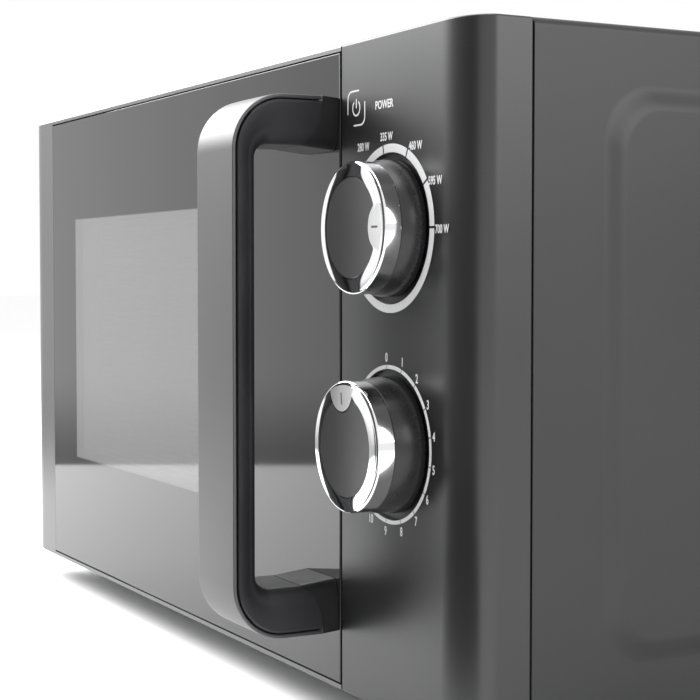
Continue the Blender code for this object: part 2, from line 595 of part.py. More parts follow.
def dial(name):
    """One dial: black body with its shaft, plated bezel with a pointer lobe, and flat cap."""
    height, direction, front = KNOB_HEIGHTS[name], KNOB_DIRECTIONS[name], -KNOB_REACHES[name]
    centre = Vector((KNOB_X, FRONT, height))
    profile = [(0.0, 0.0006), (KNOB_BACK_RADIUS, 0.0006), (KNOB_BACK_RADIUS, -0.0010),
               (KNOB_FRONT_RADIUS, front + BEZEL_HEIGHT + GAP), (0.0, front + BEZEL_HEIGHT + GAP)]
    body = make(f"{name}_knob_body", turned(profile, centre, "Y", 40), "black_plastic")
    add(body, drum(centre, "Y", SHAFT_RADIUS, SHAFT_LENGTH, 16))
    ring = [(KNOB_X + x, height + z) for x, z in bezel_outline(CAP_RADIUS, LOBE_RADIUS, direction)]
    rim = [(0, front + BEZEL_HEIGHT), (BEZEL_RADIUS, front + BEZEL_HEIGHT),
           (BEZEL_RADIUS, front + BEZEL_FALL + BEZEL_SHOULDER), (BEZEL_RADIUS - BEZEL_SHOULDER, front + BEZEL_FALL),
           (CAP_RADIUS, front), (0, front)]
    bezel = make(f"{name}_knob_bezel", turned(rim, centre, "Y", 40), "chrome")
    cut(bezel, prism(ring, "Y", FRONT + front - 0.01, FRONT))
    face = [(KNOB_X + x, height + z)
            for x, z in bezel_outline(CAP_RADIUS - GAP, LOBE_RADIUS + GAP, direction)]
    cap = make(f"{name}_knob_cap", prism(face, "Y", FRONT + front, FRONT + front + BEZEL_HEIGHT), "cap_grey")
    return pivot(f"{name}_dial_axis", centre, [body, bezel, cap])


def control_units():
    """The clockwork timer and the power switch behind the control panel."""
    y0, y1 = FRONT + 0.0028, FRONT + 0.0420
    for name, size in (("timer", 0.028), ("power", 0.024)):
        z = KNOB_HEIGHTS[name]
        unit = make(f"{name}_unit", block(KNOB_X - size, KNOB_X + size, y0, y1 if name == "timer" else y1 - 0.010,
                                          z - size, z + size), "white_plastic")
        cut(unit, drum((KNOB_X, y0 - 0.01, z), "Y", SHAFT_RADIUS + GAP, 0.0175, 16))


# Safety switches

def interlock():
    """The bracket behind the front plate, with a switch and its plunger facing each hook."""
    y0 = PLATE_Y + STEEL + GAP
    bracket = make("interlock_bracket", block(0.1190, 0.1215, y0, FRONT + 0.0700, 0.070, 0.216), "white_plastic")
    body_y0, body_y1 = HOOK_TIP + 0.0040, FRONT + 0.0660
    for label, z in zip(("lower", "upper"), HOOK_HEIGHTS):
        add(bracket, block(0.1200, 0.1370, body_y0, body_y1, z - 0.0165, z - 0.0143))
        switch = make(f"{label}_switch", block(0.1250, 0.1350, body_y0, body_y1, z - 0.0140, z + 0.0120),
                      "black_plastic")
        cut(switch, drum((HOOK_X, body_y0 - 0.001, z), "Y", 0.0018, 0.0080, 12))
        plunger = make(f"{label}_switch_plunger", drum((HOOK_X, HOOK_TIP + GAP, z), "Y", 0.0014, 0.0070, 12),
                       "white_plastic")
        pivot(f"{label}_plunger_axis", (HOOK_X, HOOK_TIP + GAP, z), [plunger])


# Microwave circuit, in the bay beside the cavity

def waveguide():
    """The duct from the magnetron to the cavity, open against the cavity wall."""
    x0, x1 = CAVITY_RIGHT + STEEL + GAP, 0.1380
    y0, y1, z0, z1 = GUIDE
    guide = make("waveguide", block(x0, x1, y0, y1, z0, z1), "zinc_steel")
    cut(guide, block(x0 - 0.01, x1 - STEEL, y0 + STEEL, y1 - STEEL, z0 + STEEL, z1 - STEEL),
        drum((x1 - 0.01, (y0 + y1) / 2, (z0 + z1) / 2), "X", 0.0085, 0.02, 20))
    cover = block(CAVITY_RIGHT - 0.0007, CAVITY_RIGHT - GAP, y0 + 0.003, y1 - 0.003, z0 + 0.003, z1 - 0.003)
    return guide, make("waveguide_cover", cover, "mica")


def magnetron():
    """The magnetron: a yoke with cooling fins round the tube, its antenna in the waveguide, and a filter box."""
    y0, y1, z0, z1 = GUIDE
    x0, x1, cy, cz = 0.1384, 0.2060, (y0 + y1) / 2, (z0 + z1) / 2
    body = make("magnetron", block(x0, x1, cy - 0.040, cy + 0.040, cz - 0.035, cz + 0.035), "aluminium")
    cut(body, block(x0 + 0.0015, x1 - 0.0015, cy - 0.05, cy + 0.05, cz - 0.0335, cz + 0.0335))
    fins = [block(x, x + 0.0012, cy - 0.036, cy + 0.036, cz - 0.034, cz + 0.034)
            for x in (x0 + 0.012 + 0.009 * i for i in range(6))]
    add(body, drum((x0 + 0.001, cy, cz), "X", 0.0200, x1 - x0 - 0.002, 24), *fins)
    return add(body, drum((x0 - 0.0220, cy, cz), "X", 0.0070, 0.0225, 16),
               block(x1 - 0.0005, 0.2220, cy - 0.022, cy + 0.022, cz - 0.020, cz + 0.020))


def transformer():
    """The high-voltage transformer: laminated core with two windows, and its coils round the middle leg."""
    y0, y1, z0 = FRONT + 0.165, FRONT + 0.215, BOTTOM + STEEL + GAP
    core = make("transformer_core", block(0.1250, 0.2130, y0, y1, z0, z0 + 0.075), "core_steel")
    windows = [block(x, x + 0.0170, y0 - 0.01, y1 + 0.01, z0 + 0.0125, z0 + 0.0625) for x in (0.1405, 0.1805)]
    cut(core, *windows)
    coils = make("transformer_coils", prism(rounded(0.1408, 0.1972, y0 - 0.015, y1 + 0.015, 0.010, 3), "Z",
                                            z0 + 0.0130, z0 + 0.0620), "copper")
    return core, cut(coils, block(0.1571, 0.1809, y0 - 0.0004, y1 + 0.0004, z0, z0 + 0.1))


def capacitor():
    """The oval capacitor can and its strap."""
    x0, x1, z0, z1, y0, y1 = 0.1330, 0.1870, 0.0290, 0.0630, FRONT + 0.050, FRONT + 0.135
    radius = (z1 - z0) / 2 - 0.0005
    can = make("capacitor", prism(rounded(x0, x1, z0, z1, radius, 6), "Y", y0, y1), "aluminium")
    wide, mid = GAP + 0.0010, (y0 + y1) / 2
    band = make("capacitor_strap", prism(rounded(x0 - wide, x1 + wide, z0 - wide, z1 + wide, radius + wide, 6), "Y",
                                         mid - 0.0075, mid + 0.0075), "zinc_steel")
    cut(band, prism(rounded(x0 - GAP, x1 + GAP, z0 - GAP, z1 + GAP, radius + GAP, 6), "Y", mid - 0.02, mid + 0.02))
    add(band, block(x0 - 0.0100, x0 + 0.0250, mid - 0.0075, mid + 0.0075, z0 - wide - 0.0008, z0 - wide + 0.0006))
    return can, band


def lamp():
    """The oven lamp and its holder, behind the slots in the cavity's right wall."""
    x0 = CAVITY_RIGHT + STEEL + GAP
    holder = make("lamp_holder", block(x0, x0 + 0.0330, LAMP_Y - 0.017, LAMP_Y + 0.017, LAMP_Z - 0.017,
                                       LAMP_Z + 0.017), "zinc_steel")
    cut(holder, block(x0 - 0.01, x0 + 0.0320, LAMP_Y - 0.016, LAMP_Y + 0.016, LAMP_Z - 0.016, LAMP_Z + 0.016))
    profile = [(0, 0.0030), (0.0040, 0.0040), (0.0085, 0.0100), (0.0085, 0.0160), (0.0055, 0.0220),
               (0.0055, 0.0315), (0, 0.0315)]
    return holder, make("lamp_bulb", turned(profile, (x0, LAMP_Y, LAMP_Z), "X", 16), "bulb_glass")


# Cooling

def fan():
    """The cooling fan: its duct with a spider of arms, the motor, and the blade wheel with its shaft."""
    y0, y1 = FRONT + 0.262, FRONT + 0.300
    duct = make("fan_duct", block(0.1120, 0.2240, y0, y1, 0.125, 0.236), "black_plastic")
    cut(duct, drum((FAN_X, y0 - 0.01, FAN_Z), "Y", FAN_RADIUS + 0.003, 0.1, 40))
    arm = FAN_RADIUS + 0.004
    add(duct, block(FAN_X - arm, FAN_X + arm, y1 - 0.004, y1, FAN_Z - 0.004, FAN_Z + 0.004),
        block(FAN_X - 0.004, FAN_X + 0.004, y1 - 0.004, y1, FAN_Z - arm, FAN_Z + arm),
        drum((FAN_X, y1 - 0.004, FAN_Z), "Y", 0.014, 0.004, 24))
    cut(duct, drum((FAN_X, y0, FAN_Z), "Y", 0.0034, 0.1, 16))
    motor = make("fan_motor", block(FAN_X - 0.022, FAN_X + 0.022, y1 + GAP, y1 + 0.024, FAN_Z - 0.020, FAN_Z + 0.020),
                 "core_steel")
    cut(motor, drum((FAN_X, y1 - 0.01, FAN_Z), "Y", 0.0028, 0.022, 16))
    blade_y0, blade_y1 = y0 + 0.006, y0 + 0.026
    wheel = make("fan_wheel", drum((FAN_X, blade_y0, FAN_Z), "Y", 0.012, blade_y1 - blade_y0, 24), "white_plastic")
    middle = Vector((FAN_X, (blade_y0 + blade_y1) / 2, FAN_Z))
    for i in range(5):
        blade = block(0.010, FAN_RADIUS, -0.0009, 0.0009, -0.013, 0.013)
        turn = Matrix.Rotation(math.tau * i / 5, 4, "Y") @ Matrix.Rotation(math.radians(50), 4, "X")
        bmesh.ops.transform(blade, matrix=Matrix.Translation(middle) @ turn, verts=blade.verts)
        add(wheel, blade)
    add(wheel, drum((FAN_X, blade_y1 - 0.002, FAN_Z), "Y", 0.0024, y1 - blade_y1 + 0.012, 14))
    return pivot("fan_axis", (FAN_X, blade_y0, FAN_Z), [wheel])


# Turntable

def turntable():
    """The motor, the three-lobed coupler and the glass tray."""
    motor_z0, motor_z1 = BOTTOM + STEEL + GAP + 0.0015, CAVITY_FLOOR - STEEL - GAP
    motor = make("turntable_motor", drum((CAVITY_X, CAVITY_Y, motor_z0), "Z", 0.0250, motor_z1 - motor_z0, 28),
                 "zinc_steel")
    cut(motor, drum((CAVITY_X, CAVITY_Y, motor_z1 - 0.008), "Z", 0.0040, 0.02, 16))
    lobes = []
    for i in range(36):
        angle = math.tau * i / 36
        radius = 0.0125 + 0.0045 * math.cos(3 * angle)
        lobes.append((CAVITY_X + radius * math.cos(angle), CAVITY_Y + radius * math.sin(angle)))
    coupler = make("tray_coupler", prism(lobes, "Z", 0.0425, TRAY_UNDERSIDE - GAP), "white_plastic")
    add(coupler, drum((CAVITY_X, CAVITY_Y, motor_z1 - 0.007), "Z", 0.0034, 0.0425 - motor_z1 + 0.008, 16))
    r, z = TRAY_RADIUS, TRAY_UNDERSIDE
    profile = [(0, z), (r - 0.022, z), (r - 0.010, z + 0.0020), (r - 0.001, z + 0.0110), (r, z + 0.0125),
               (r - 0.002, z + 0.0130), (r - 0.013, z + 0.0062), (r - 0.022, z + 0.0045), (0, z + 0.0045)]
    tray = make("turntable_tray", turned(profile, (CAVITY_X, CAVITY_Y, 0), "Z", 48), "clear_glass")
    return pivot("turntable_axis", (CAVITY_X, CAVITY_Y, CAVITY_FLOOR), [coupler, tray])


def roller_ring():
    """The loose ring under the tray, with three rollers on stub axles."""
    centre = Vector((CAVITY_X, CAVITY_Y, ROLLER_Z))
    profile = [(0.0730, -0.0025), (0.0790, -0.0025), (0.0790, 0.0025), (0.0730, 0.0025)]
    ring = make("roller_ring", turned(profile, centre, "Z", 48), "white_plastic")
    for i in range(3):
        turn = Matrix.Rotation(math.radians(90 + 120 * i), 4, "Z")
        axle = drum((0.0770, 0, 0), "X", AXLE_RADIUS, ROLLER_CIRCLE + 0.0045 - 0.0770, 12)
        bmesh.ops.transform(axle, matrix=Matrix.Translation(centre) @ turn, verts=axle.verts)
        add(ring, axle)
        half = ROLLER_WIDTH / 2
        profile = [(AXLE_RADIUS + GAP, -half), (ROLLER_RADIUS - 0.001, -half), (ROLLER_RADIUS, 0.001 - half),
                   (ROLLER_RADIUS, half - 0.001), (ROLLER_RADIUS - 0.001, half), (AXLE_RADIUS + GAP, half)]
        wheel = turned(profile, (ROLLER_CIRCLE, 0, 0), "X", 24)
        bmesh.ops.transform(wheel, matrix=Matrix.Translation(centre) @ turn, verts=wheel.verts)
        place = centre + turn @ Vector((ROLLER_CIRCLE, 0, 0))
        pivot(f"roller_{i + 1}_axis", place, [make(f"roller_{i + 1}", wheel, "white_plastic")])
    return pivot("roller_ring_axis", centre, [ring])


def main():
    """Builds the oven."""
    for old in list(bpy.data.objects):
        bpy.data.objects.remove(old)
    cabinet_wrap()
    base_plate()
    rear_panel()
    front_plate()
    cavity()
    feet()
    cord_gland()
    door = [door_frame(), door_glass(), door_screen(), choke_cover(), door_film(), handle_body(), handle_cover(),
            handle_foot("handle_foot_upper", 1), handle_foot("handle_foot_lower", -1)]
    pivot("door_axis", (HINGE_X, HINGE_Y, BOTTOM), door)
    pivot("latch_axis", (HOOK_X, FRONT + 0.0135, SLIDE_BOTTOM), [latch_slide()])
    hinge("hinge_lower", HINGE_ARM_HEIGHTS[0], 1)
    hinge("hinge_upper", HINGE_ARM_HEIGHTS[1], -1)
    control_fascia()
    control_units()
    dial("power")
    dial("timer")
    interlock()
    waveguide()
    magnetron()
    transformer()
    capacitor()
    lamp()
    fan()
    turntable()
    roller_ring()


main()
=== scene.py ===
"""Looks of a countertop microwave oven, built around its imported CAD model.

The oven stands on Z = 0 and faces -Y. Lengths are metres. Each sub-assembly is a class that builds its
pieces, each finish is a small class that dresses a material, and main() puts them together.
"""

from __future__ import annotations

import json
import logging
import math
from dataclasses import dataclass, field
from enum import Enum
from typing import Callable, Sequence

import bmesh
import bpy
from mathutils import Matrix, Vector

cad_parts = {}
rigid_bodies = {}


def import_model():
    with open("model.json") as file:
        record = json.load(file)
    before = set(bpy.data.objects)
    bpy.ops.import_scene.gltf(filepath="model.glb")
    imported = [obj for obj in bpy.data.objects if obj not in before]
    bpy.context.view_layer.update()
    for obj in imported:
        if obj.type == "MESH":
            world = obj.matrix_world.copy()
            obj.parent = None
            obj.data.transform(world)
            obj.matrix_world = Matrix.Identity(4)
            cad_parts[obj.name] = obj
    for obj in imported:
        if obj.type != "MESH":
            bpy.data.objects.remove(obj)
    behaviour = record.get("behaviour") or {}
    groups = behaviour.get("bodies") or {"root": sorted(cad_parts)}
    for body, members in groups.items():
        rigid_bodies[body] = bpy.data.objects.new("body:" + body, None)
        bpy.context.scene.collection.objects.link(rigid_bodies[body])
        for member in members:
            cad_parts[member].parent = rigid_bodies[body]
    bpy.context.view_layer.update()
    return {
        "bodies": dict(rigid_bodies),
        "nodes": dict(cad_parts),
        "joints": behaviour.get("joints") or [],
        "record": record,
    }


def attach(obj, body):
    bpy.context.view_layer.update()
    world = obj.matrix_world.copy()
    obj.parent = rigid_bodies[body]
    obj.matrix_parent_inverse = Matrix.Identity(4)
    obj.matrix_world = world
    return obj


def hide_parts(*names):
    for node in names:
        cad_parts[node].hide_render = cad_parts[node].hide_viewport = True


LOG = logging.getLogger("oven")

Pair = tuple[float, float]
Point = tuple[float, float, float]
Colour = tuple[float, float, float]

# Main planes, which the CAD model shares
FRONT = -0.14775
BACK = 0.19225
BOTTOM = 0.015
TOP = 0.258
HALF = 0.231
SEAM = 0.1425
SLIT = 0.0004
STEEL = 0.0008
CORNER = (0.0185, 0.011)
WRAP_FRONT = -0.12315

# How far print stands out, how far a cutting shape reaches past a part, and how much of a font's size its
# capitals take
INK_THICK = 0.00003
REACH_THROUGH = 0.01
CAPITALS = 0.70


class Axis(Enum):
    """The axis that an outline is extruded along."""

    X = "X"
    Y = "Y"
    Z = "Z"


class Slot(Enum):
    """The record's material slots."""

    CABINET = "cabinet_paint"
    ZINC = "zinc_steel"
    CONTROL = "control_plastic"
    BLACK = "black_plastic"
    WHITE = "white_plastic"
    MIRROR = "mirror_glass"
    GLASS = "clear_glass"
    SILVER = "satin_silver"
    CHROME = "bezel_chrome"
    CAP = "cap_grey"
    RUBBER = "rubber"
    COPPER = "copper"


# Shader graph


class Signal:
    """One output socket of a shader graph, with its maths written as Python."""

    def __init__(self, graph: Graph, socket: bpy.types.NodeSocket) -> None:
        """Wraps a socket of a graph."""
        self.graph = graph
        self.socket = socket

    def _maths(self, operation: str, first: Signal | float, second: Signal | float) -> Signal:
        """Adds a Math node.

        Args:
            operation: the Math node's operation.
            first: its first value.
            second: its second value.

        Returns:
            The node's result.
        """
        return self.graph.signal("ShaderNodeMath", {"operation": operation}, {0: first, 1: second})

    def __add__(self, other: Signal | float) -> Signal:
        """Adds."""
        return self._maths("ADD", self, other)

    def __sub__(self, other: Signal | float) -> Signal:
        """Subtracts."""
        return self._maths("SUBTRACT", self, other)

    def __rsub__(self, other: float) -> Signal:
        """Subtracts from a number."""
        return self._maths("SUBTRACT", other, self)

    def __mul__(self, other: Signal | float) -> Signal:
        """Multiplies."""
        return self._maths("MULTIPLY", self, other)

    def wave(self) -> Signal:
        """Takes the sine."""
        return self._maths("SINE", self, 0.0)

    def step(self, low: float, high: float) -> Signal:
        """Rises smoothly from 0 at one value to 1 at another.

        Args:
            low: the value where the result is 0.
            high: the value where the result is 1.

        Returns:
            The smooth step.
        """
        return self.graph.signal("ShaderNodeMapRange", {"interpolation_type": "SMOOTHSTEP"},
                                 {0: self, 1: low, 2: high, 3: 0.0, 4: 1.0})


class Graph:
    """The node tree of one material."""

    def __init__(self, name: str) -> None:
        """Makes an empty material with an output node."""
        self.material = bpy.data.materials.new(name)
        self.material.use_nodes = True
        self.tree = self.material.node_tree
        self.tree.nodes.clear()
        self.output = self.node("ShaderNodeOutputMaterial")
        self.place = self.signal("ShaderNodeTexCoord", {}, {}, "Object")

    def node(self, kind: str, settings: dict | None = None, inputs: dict | None = None) -> bpy.types.Node:
        """Adds any node.

        Args:
            kind: the node's type.
            settings: its properties, which are set first.
            inputs: values or signals for its sockets, by name or number.

        Returns:
            The new node.
        """
        made = self.tree.nodes.new(kind)
        for key, value in (settings or {}).items():
            setattr(made, key, value)
        for key, value in (inputs or {}).items():
            socket = made.inputs[key]
            if isinstance(value, Signal):
                self.tree.links.new(value.socket, socket)
            elif socket.type == "RGBA":
                socket.default_value = (*value, 1.0)
            else:
                socket.default_value = value
        return made

    def signal(self, kind: str, settings: dict | None = None, inputs: dict | None = None,
               output: int | str = 0) -> Signal:
        """Adds a node and returns one of its outputs as a signal."""
        return Signal(self, self.node(kind, settings, inputs).outputs[output])

    def scaled(self, scale: Point) -> Signal:
        """Returns the piece's coordinates, scaled along each axis."""
        return self.signal("ShaderNodeMapping", {}, {"Vector": self.place, "Scale": scale})

    def noise(self, size: float, detail: float = 2.0, where: Signal | None = None,
              roughness: float = 0.5) -> Signal:
        """Adds noise.

        Args:
            size: the width of its features in metres, or in mapped units.
            detail: how many octaves it has.
            where: coordinates, when not the piece's own.
            roughness: the share of each next octave.

        Returns:
            A value near 0.5.
        """
        return self.signal("ShaderNodeTexNoise", {}, {"Vector": where or self.place, "Scale": 1.0 / size,
                                                      "Detail": detail, "Roughness": roughness})

    def cells(self, size: float) -> Signal:
        """Adds Voronoi cells of a width in metres and returns their colours."""
        return self.signal("ShaderNodeTexVoronoi", {}, {"Vector": self.place, "Scale": 1.0 / size}, "Color")

    def mix(self, factor: Signal | float, first: Signal | Colour, second: Signal | Colour) -> Signal:
        """Mixes two colours."""
        return self.signal("ShaderNodeMix", {"data_type": "RGBA"}, {0: factor, 6: first, 7: second}, 2)

    def part(self, axis: Axis, of: Signal | None = None) -> Signal:
        """Returns one part of a vector, which is the piece's own coordinates by default."""
        return self.signal("ShaderNodeSeparateXYZ", {}, {0: of or self.place}, axis.value)

    def bump(self, height: Signal, depth: float, under: Signal | None = None) -> Signal:
        """Turns a height into a normal.

        Args:
            height: the height, about 0 to 1.
            depth: the relief between 0 and 1, in metres.
            under: another normal that this one adds to.

        Returns:
            The normal.
        """
        inputs = {"Height": height, "Distance": depth, "Strength": 1.0}
        if under:
            inputs["Normal"] = under
        return self.signal("ShaderNodeBump", {}, inputs, "Normal")

    def surface(self, shader: Signal) -> None:
        """Joins a shader to the output."""
        self.tree.links.new(shader.socket, self.output.inputs["Surface"])


# Finishes


def toned(colour: Colour, share: float) -> Colour:
    """Returns a colour made lighter or darker by a share."""
    return tuple(min(1.0, part * share) for part in colour)


@dataclass(frozen=True)
class Finish:
    """A named finish, whose material is made on first use."""

    name: str
    colour: Colour
    roughness: float
    metallic: float = 0.0

    def material(self) -> bpy.types.Material:
        """Returns the finish's material."""
        found = bpy.data.materials.get(self.name)
        if found:
            return found
        graph = Graph(self.name)
        self.dress(graph)
        return graph.material

    def dress(self, graph: Graph) -> None:
        """Builds the finish in a graph."""
        raise NotImplementedError

    def coat(self, graph: Graph, colour: Signal, roughness: Signal | float, extra: dict) -> None:
        """Adds the surface shader.

        Args:
            graph: the graph that it is added to.
            colour: the base colour.
            roughness: the roughness.
            extra: its other inputs by name, such as the normal.
        """
        inputs = {"Base Color": colour, "Roughness": roughness, "Metallic": self.metallic, **extra}
        graph.surface(graph.signal("ShaderNodeBsdfPrincipled", {}, inputs, "BSDF"))


@dataclass(frozen=True)
class Moulded(Finish):
    """Moulded plastic or rubber with a spark-eroded grain and faint flow tones."""

    grain: float = 0.0005
    relief: float = 0.000004
    variation: float = 0.06

    def dress(self, graph: Graph) -> None:
        """Builds the finish in a graph."""
        flow = graph.noise(0.045, 3.0).step(0.35, 0.65)
        fine = graph.noise(self.grain, 3.0, roughness=0.6)
        handled = graph.noise(0.018, 4.0, roughness=0.65).step(0.42, 0.72)
        darker, paler = toned(self.colour, 1 - self.variation), toned(self.colour, 1 + self.variation)
        colour = graph.mix(flow, darker, paler)
        rough = handled * 0.06 + fine * 0.08 + (self.roughness - 0.07)
        self.coat(graph, colour, rough, {"Normal": graph.bump(fine, self.relief)})


@dataclass(frozen=True)
class MetallicPaint(Finish):
    """Satin paint with fine metal flakes and a soft orange-peel surface."""

    flake: float = 0.00035
    peel: float = 0.0022
    peel_relief: float = 0.000006
    flake_relief: float = 0.0000012

    def dress(self, graph: Graph) -> None:
        """Builds the finish in a graph."""
        peel = graph.noise(self.peel, 2.0)
        flakes = graph.noise(self.flake, 2.0, roughness=0.7)
        cloud = graph.noise(0.07, 3.0).step(0.3, 0.7)
        base = graph.mix(cloud, toned(self.colour, 0.97), toned(self.colour, 1.03))
        colour = graph.mix(flakes.step(0.56, 0.78), base, toned(self.colour, 1.22))
        rough = flakes * 0.10 + cloud * 0.02 + (self.roughness - 0.06)
        normal = graph.bump(flakes, self.flake_relief, under=graph.bump(peel, self.peel_relief))
        self.coat(graph, colour, rough, {"Normal": normal})


@dataclass(frozen=True)
class Brushed(Finish):
    """Metal with fine straight lines along one axis."""

    along: Axis = Axis.Z
    pitch: float = 0.00022
    relief: float = 0.0000015

    def dress(self, graph: Graph) -> None:
        """Builds the finish in a graph."""
        scale = tuple(0.012 if axis is self.along else 1.0 for axis in Axis)
        lines = graph.noise(self.pitch, 3.0, graph.scaled(scale), 0.6)
        broad = graph.noise(0.0016, 2.0, graph.scaled(scale))
        colour = graph.mix(lines.step(0.3, 0.7), toned(self.colour, 0.93), toned(self.colour, 1.05))
        rough = lines * 0.12 + broad * 0.05 + (self.roughness - 0.085)
        self.coat(graph, colour, rough, {"Normal": graph.bump(lines, self.relief)})


@dataclass(frozen=True)
class Plated(Finish):
    """Bright plating with a faint long wave and handling marks."""

    def dress(self, graph: Graph) -> None:
        """Builds the finish in a graph."""
        wave = graph.noise(0.006, 1.0)
        marks = graph.noise(0.0025, 4.0, roughness=0.7).step(0.5, 0.8)
        colour = graph.mix(marks, self.colour, toned(self.colour, 0.94))
        self.coat(graph, colour, marks * 0.05 + self.roughness, {"Normal": graph.bump(wave, 0.000012)})


@dataclass(frozen=True)
class Galvanised(Finish):
    """Zinc-coated steel with soft-edged crystals."""

    spangle: float = 0.006

    def dress(self, graph: Graph) -> None:
        """Builds the finish in a graph."""
        tone = graph.part(Axis.X, graph.cells(self.spangle))
        drawn = graph.noise(0.0004, 2.0, graph.scaled((1.0, 0.05, 1.0)))
        colour = graph.mix(tone, toned(self.colour, 0.86), toned(self.colour, 1.10))
        rough = tone * 0.12 + drawn * 0.10 + (self.roughness - 0.10)
        self.coat(graph, colour, rough, {"Normal": graph.bump(drawn, 0.000002)})


@dataclass(frozen=True)
class Enamelled(Finish):
    """Baked enamel: an even coat with orange peel and sparse darker specks."""

    def dress(self, graph: Graph) -> None:
        """Builds the finish in a graph."""
        peel = graph.noise(0.0030, 2.0)
        specks = graph.noise(0.0009, 1.0).step(0.70, 0.78)
        haze = graph.noise(0.06, 3.0).step(0.35, 0.7)
        base = graph.mix(haze, self.colour, toned(self.colour, 0.95))
        colour = graph.mix(specks * 0.5, base, toned(self.colour, 0.6))
        self.coat(graph, colour, haze * 0.08 + self.roughness, {"Normal": graph.bump(peel, 0.000010)})


@dataclass(frozen=True)
class MirrorPlate(Finish):
    """The door's tinted mirror plate: printed black behind, with a pale half-clear window."""

    window: tuple[float, float, float, float] = (-0.1550, 0.0650, 0.0745, 0.2020)
    fade: float = 0.0004
    veil: float = 0.72
    haze: float = 0.17

    def inside(self, graph: Graph) -> Signal:
        """Returns 1 over the window and 0 on the print.

        Args:
            graph: the graph that it is built in.

        Returns:
            The window's mask.
        """
        across, up = graph.part(Axis.X), graph.part(Axis.Z)
        left, right, low, high = self.window
        fade = self.fade
        sides = across.step(left - fade, left + fade) * (1 - across.step(right - fade, right + fade))
        return sides * (up.step(low - fade, low + fade) * (1 - up.step(high - fade, high + fade)))

    def dress(self, graph: Graph) -> None:
        """Builds the finish in a graph."""
        wipe = graph.noise(0.030, 3.0, graph.scaled((1.0, 1.0, 0.4))).step(0.40, 0.75)
        ripple = graph.noise(0.09, 1.0)
        inside = self.inside(graph)
        printed = graph.mix(wipe, self.colour, toned(self.colour, 1.15))
        pale = graph.mix(graph.noise(0.0011, 1.0), (self.haze * 0.94,) * 3, (self.haze * 1.06,) * 3)
        colour = graph.mix(inside, printed, pale)
        self.coat(graph, colour, wipe * 0.015 + self.roughness,
                  {"IOR": 1.5, "Alpha": 1 - inside * (1 - self.veil), "Normal": graph.bump(ripple, 0.00003)})


@dataclass(frozen=True)
class ClearPart(Finish):
    """Clear glass or plastic with faint wipe marks."""

    def dress(self, graph: Graph) -> None:
        """Builds the finish in a graph."""
        wipe = graph.noise(0.020, 4.0, roughness=0.65).step(0.5, 0.8)
        swirl = graph.noise(0.03, 1.0)
        self.coat(graph, graph.mix(wipe, self.colour, toned(self.colour, 0.97)), wipe * 0.05 + self.roughness,
                  {"IOR": 1.5, "Transmission Weight": 1.0, "Normal": graph.bump(swirl, 0.00002)})


@dataclass(frozen=True)
class Layered(Finish):
    """A stack of thin sheets or turns of wire, seen as fine lines across one axis."""

    across: Axis = Axis.Y
    pitch: float = 0.0005
    relief: float = 0.00006

    def dress(self, graph: Graph) -> None:
        """Builds the finish in a graph."""
        lines = (graph.part(self.across) * (math.tau / self.pitch)).wave() * 0.5 + 0.5
        tone = graph.noise(0.004, 3.0, roughness=0.6)
        colour = graph.mix(lines, toned(self.colour, 0.55), toned(self.colour, 1.1))
        varied = graph.mix(tone.step(0.4, 0.7), colour, toned(self.colour, 0.8))
        self.coat(graph, varied, tone * 0.2 + (self.roughness - 0.1),
                  {"Normal": graph.bump(lines, self.relief)})


@dataclass(frozen=True)
class Mica(Finish):
    """Pressed mica board: pearly flakes in a matt binder."""

    def dress(self, graph: Graph) -> None:
        """Builds the finish in a graph."""
        flakes = graph.cells(0.0016)
        tone = graph.part(Axis.X, flakes)
        shine = graph.part(Axis.Y, flakes)
        colour = graph.mix(tone, toned(self.colour, 0.75), toned(self.colour, 1.25))
        self.coat(graph, colour, shine * 0.4 + (self.roughness - 0.2), {"Normal": graph.bump(tone, 0.00003)})


@dataclass(frozen=True)
class Ink(Finish):
    """Screen-printed ink with a soft, slightly uneven coat."""

    def dress(self, graph: Graph) -> None:
        """Builds the finish in a graph."""
        coat = graph.noise(0.0006, 3.0, roughness=0.6)
        colour = graph.mix(coat.step(0.35, 0.7), toned(self.colour, 0.90), self.colour)
        self.coat(graph, colour, coat * 0.1 + self.roughness, {"Normal": graph.bump(coat, 0.000003)})


@dataclass(frozen=True)
class StudioFloor(Finish):
    """The pale floor under the oven, a little paler far away."""

    def dress(self, graph: Graph) -> None:
        """Builds the finish in a graph."""
        tone = graph.noise(0.5, 2.0)
        across, along = graph.part(Axis.X), graph.part(Axis.Y)
        far = (across * across + along * along).step(0.8, 6.0)
        near = graph.mix(tone, toned(self.colour, 0.99), self.colour)
        self.coat(graph, graph.mix(far, near, toned(self.colour, 1.22)), self.roughness,
                  {"Specular IOR Level": 0.1})


@dataclass(frozen=True)
class Card(Finish):
    """A studio card that only shows in reflections."""

    level: float = 0.5
    top_level: float = 0.5
    height: float = 0.5

    def dress(self, graph: Graph) -> None:
        """Builds the finish in a graph."""
        up = graph.part(Axis.Z).step(0.0, self.height)
        tone = graph.mix(up, (self.level,) * 3, (self.top_level,) * 3)
        graph.surface(graph.signal("ShaderNodeEmission", {}, {"Color": tone, "Strength": 1.0}))


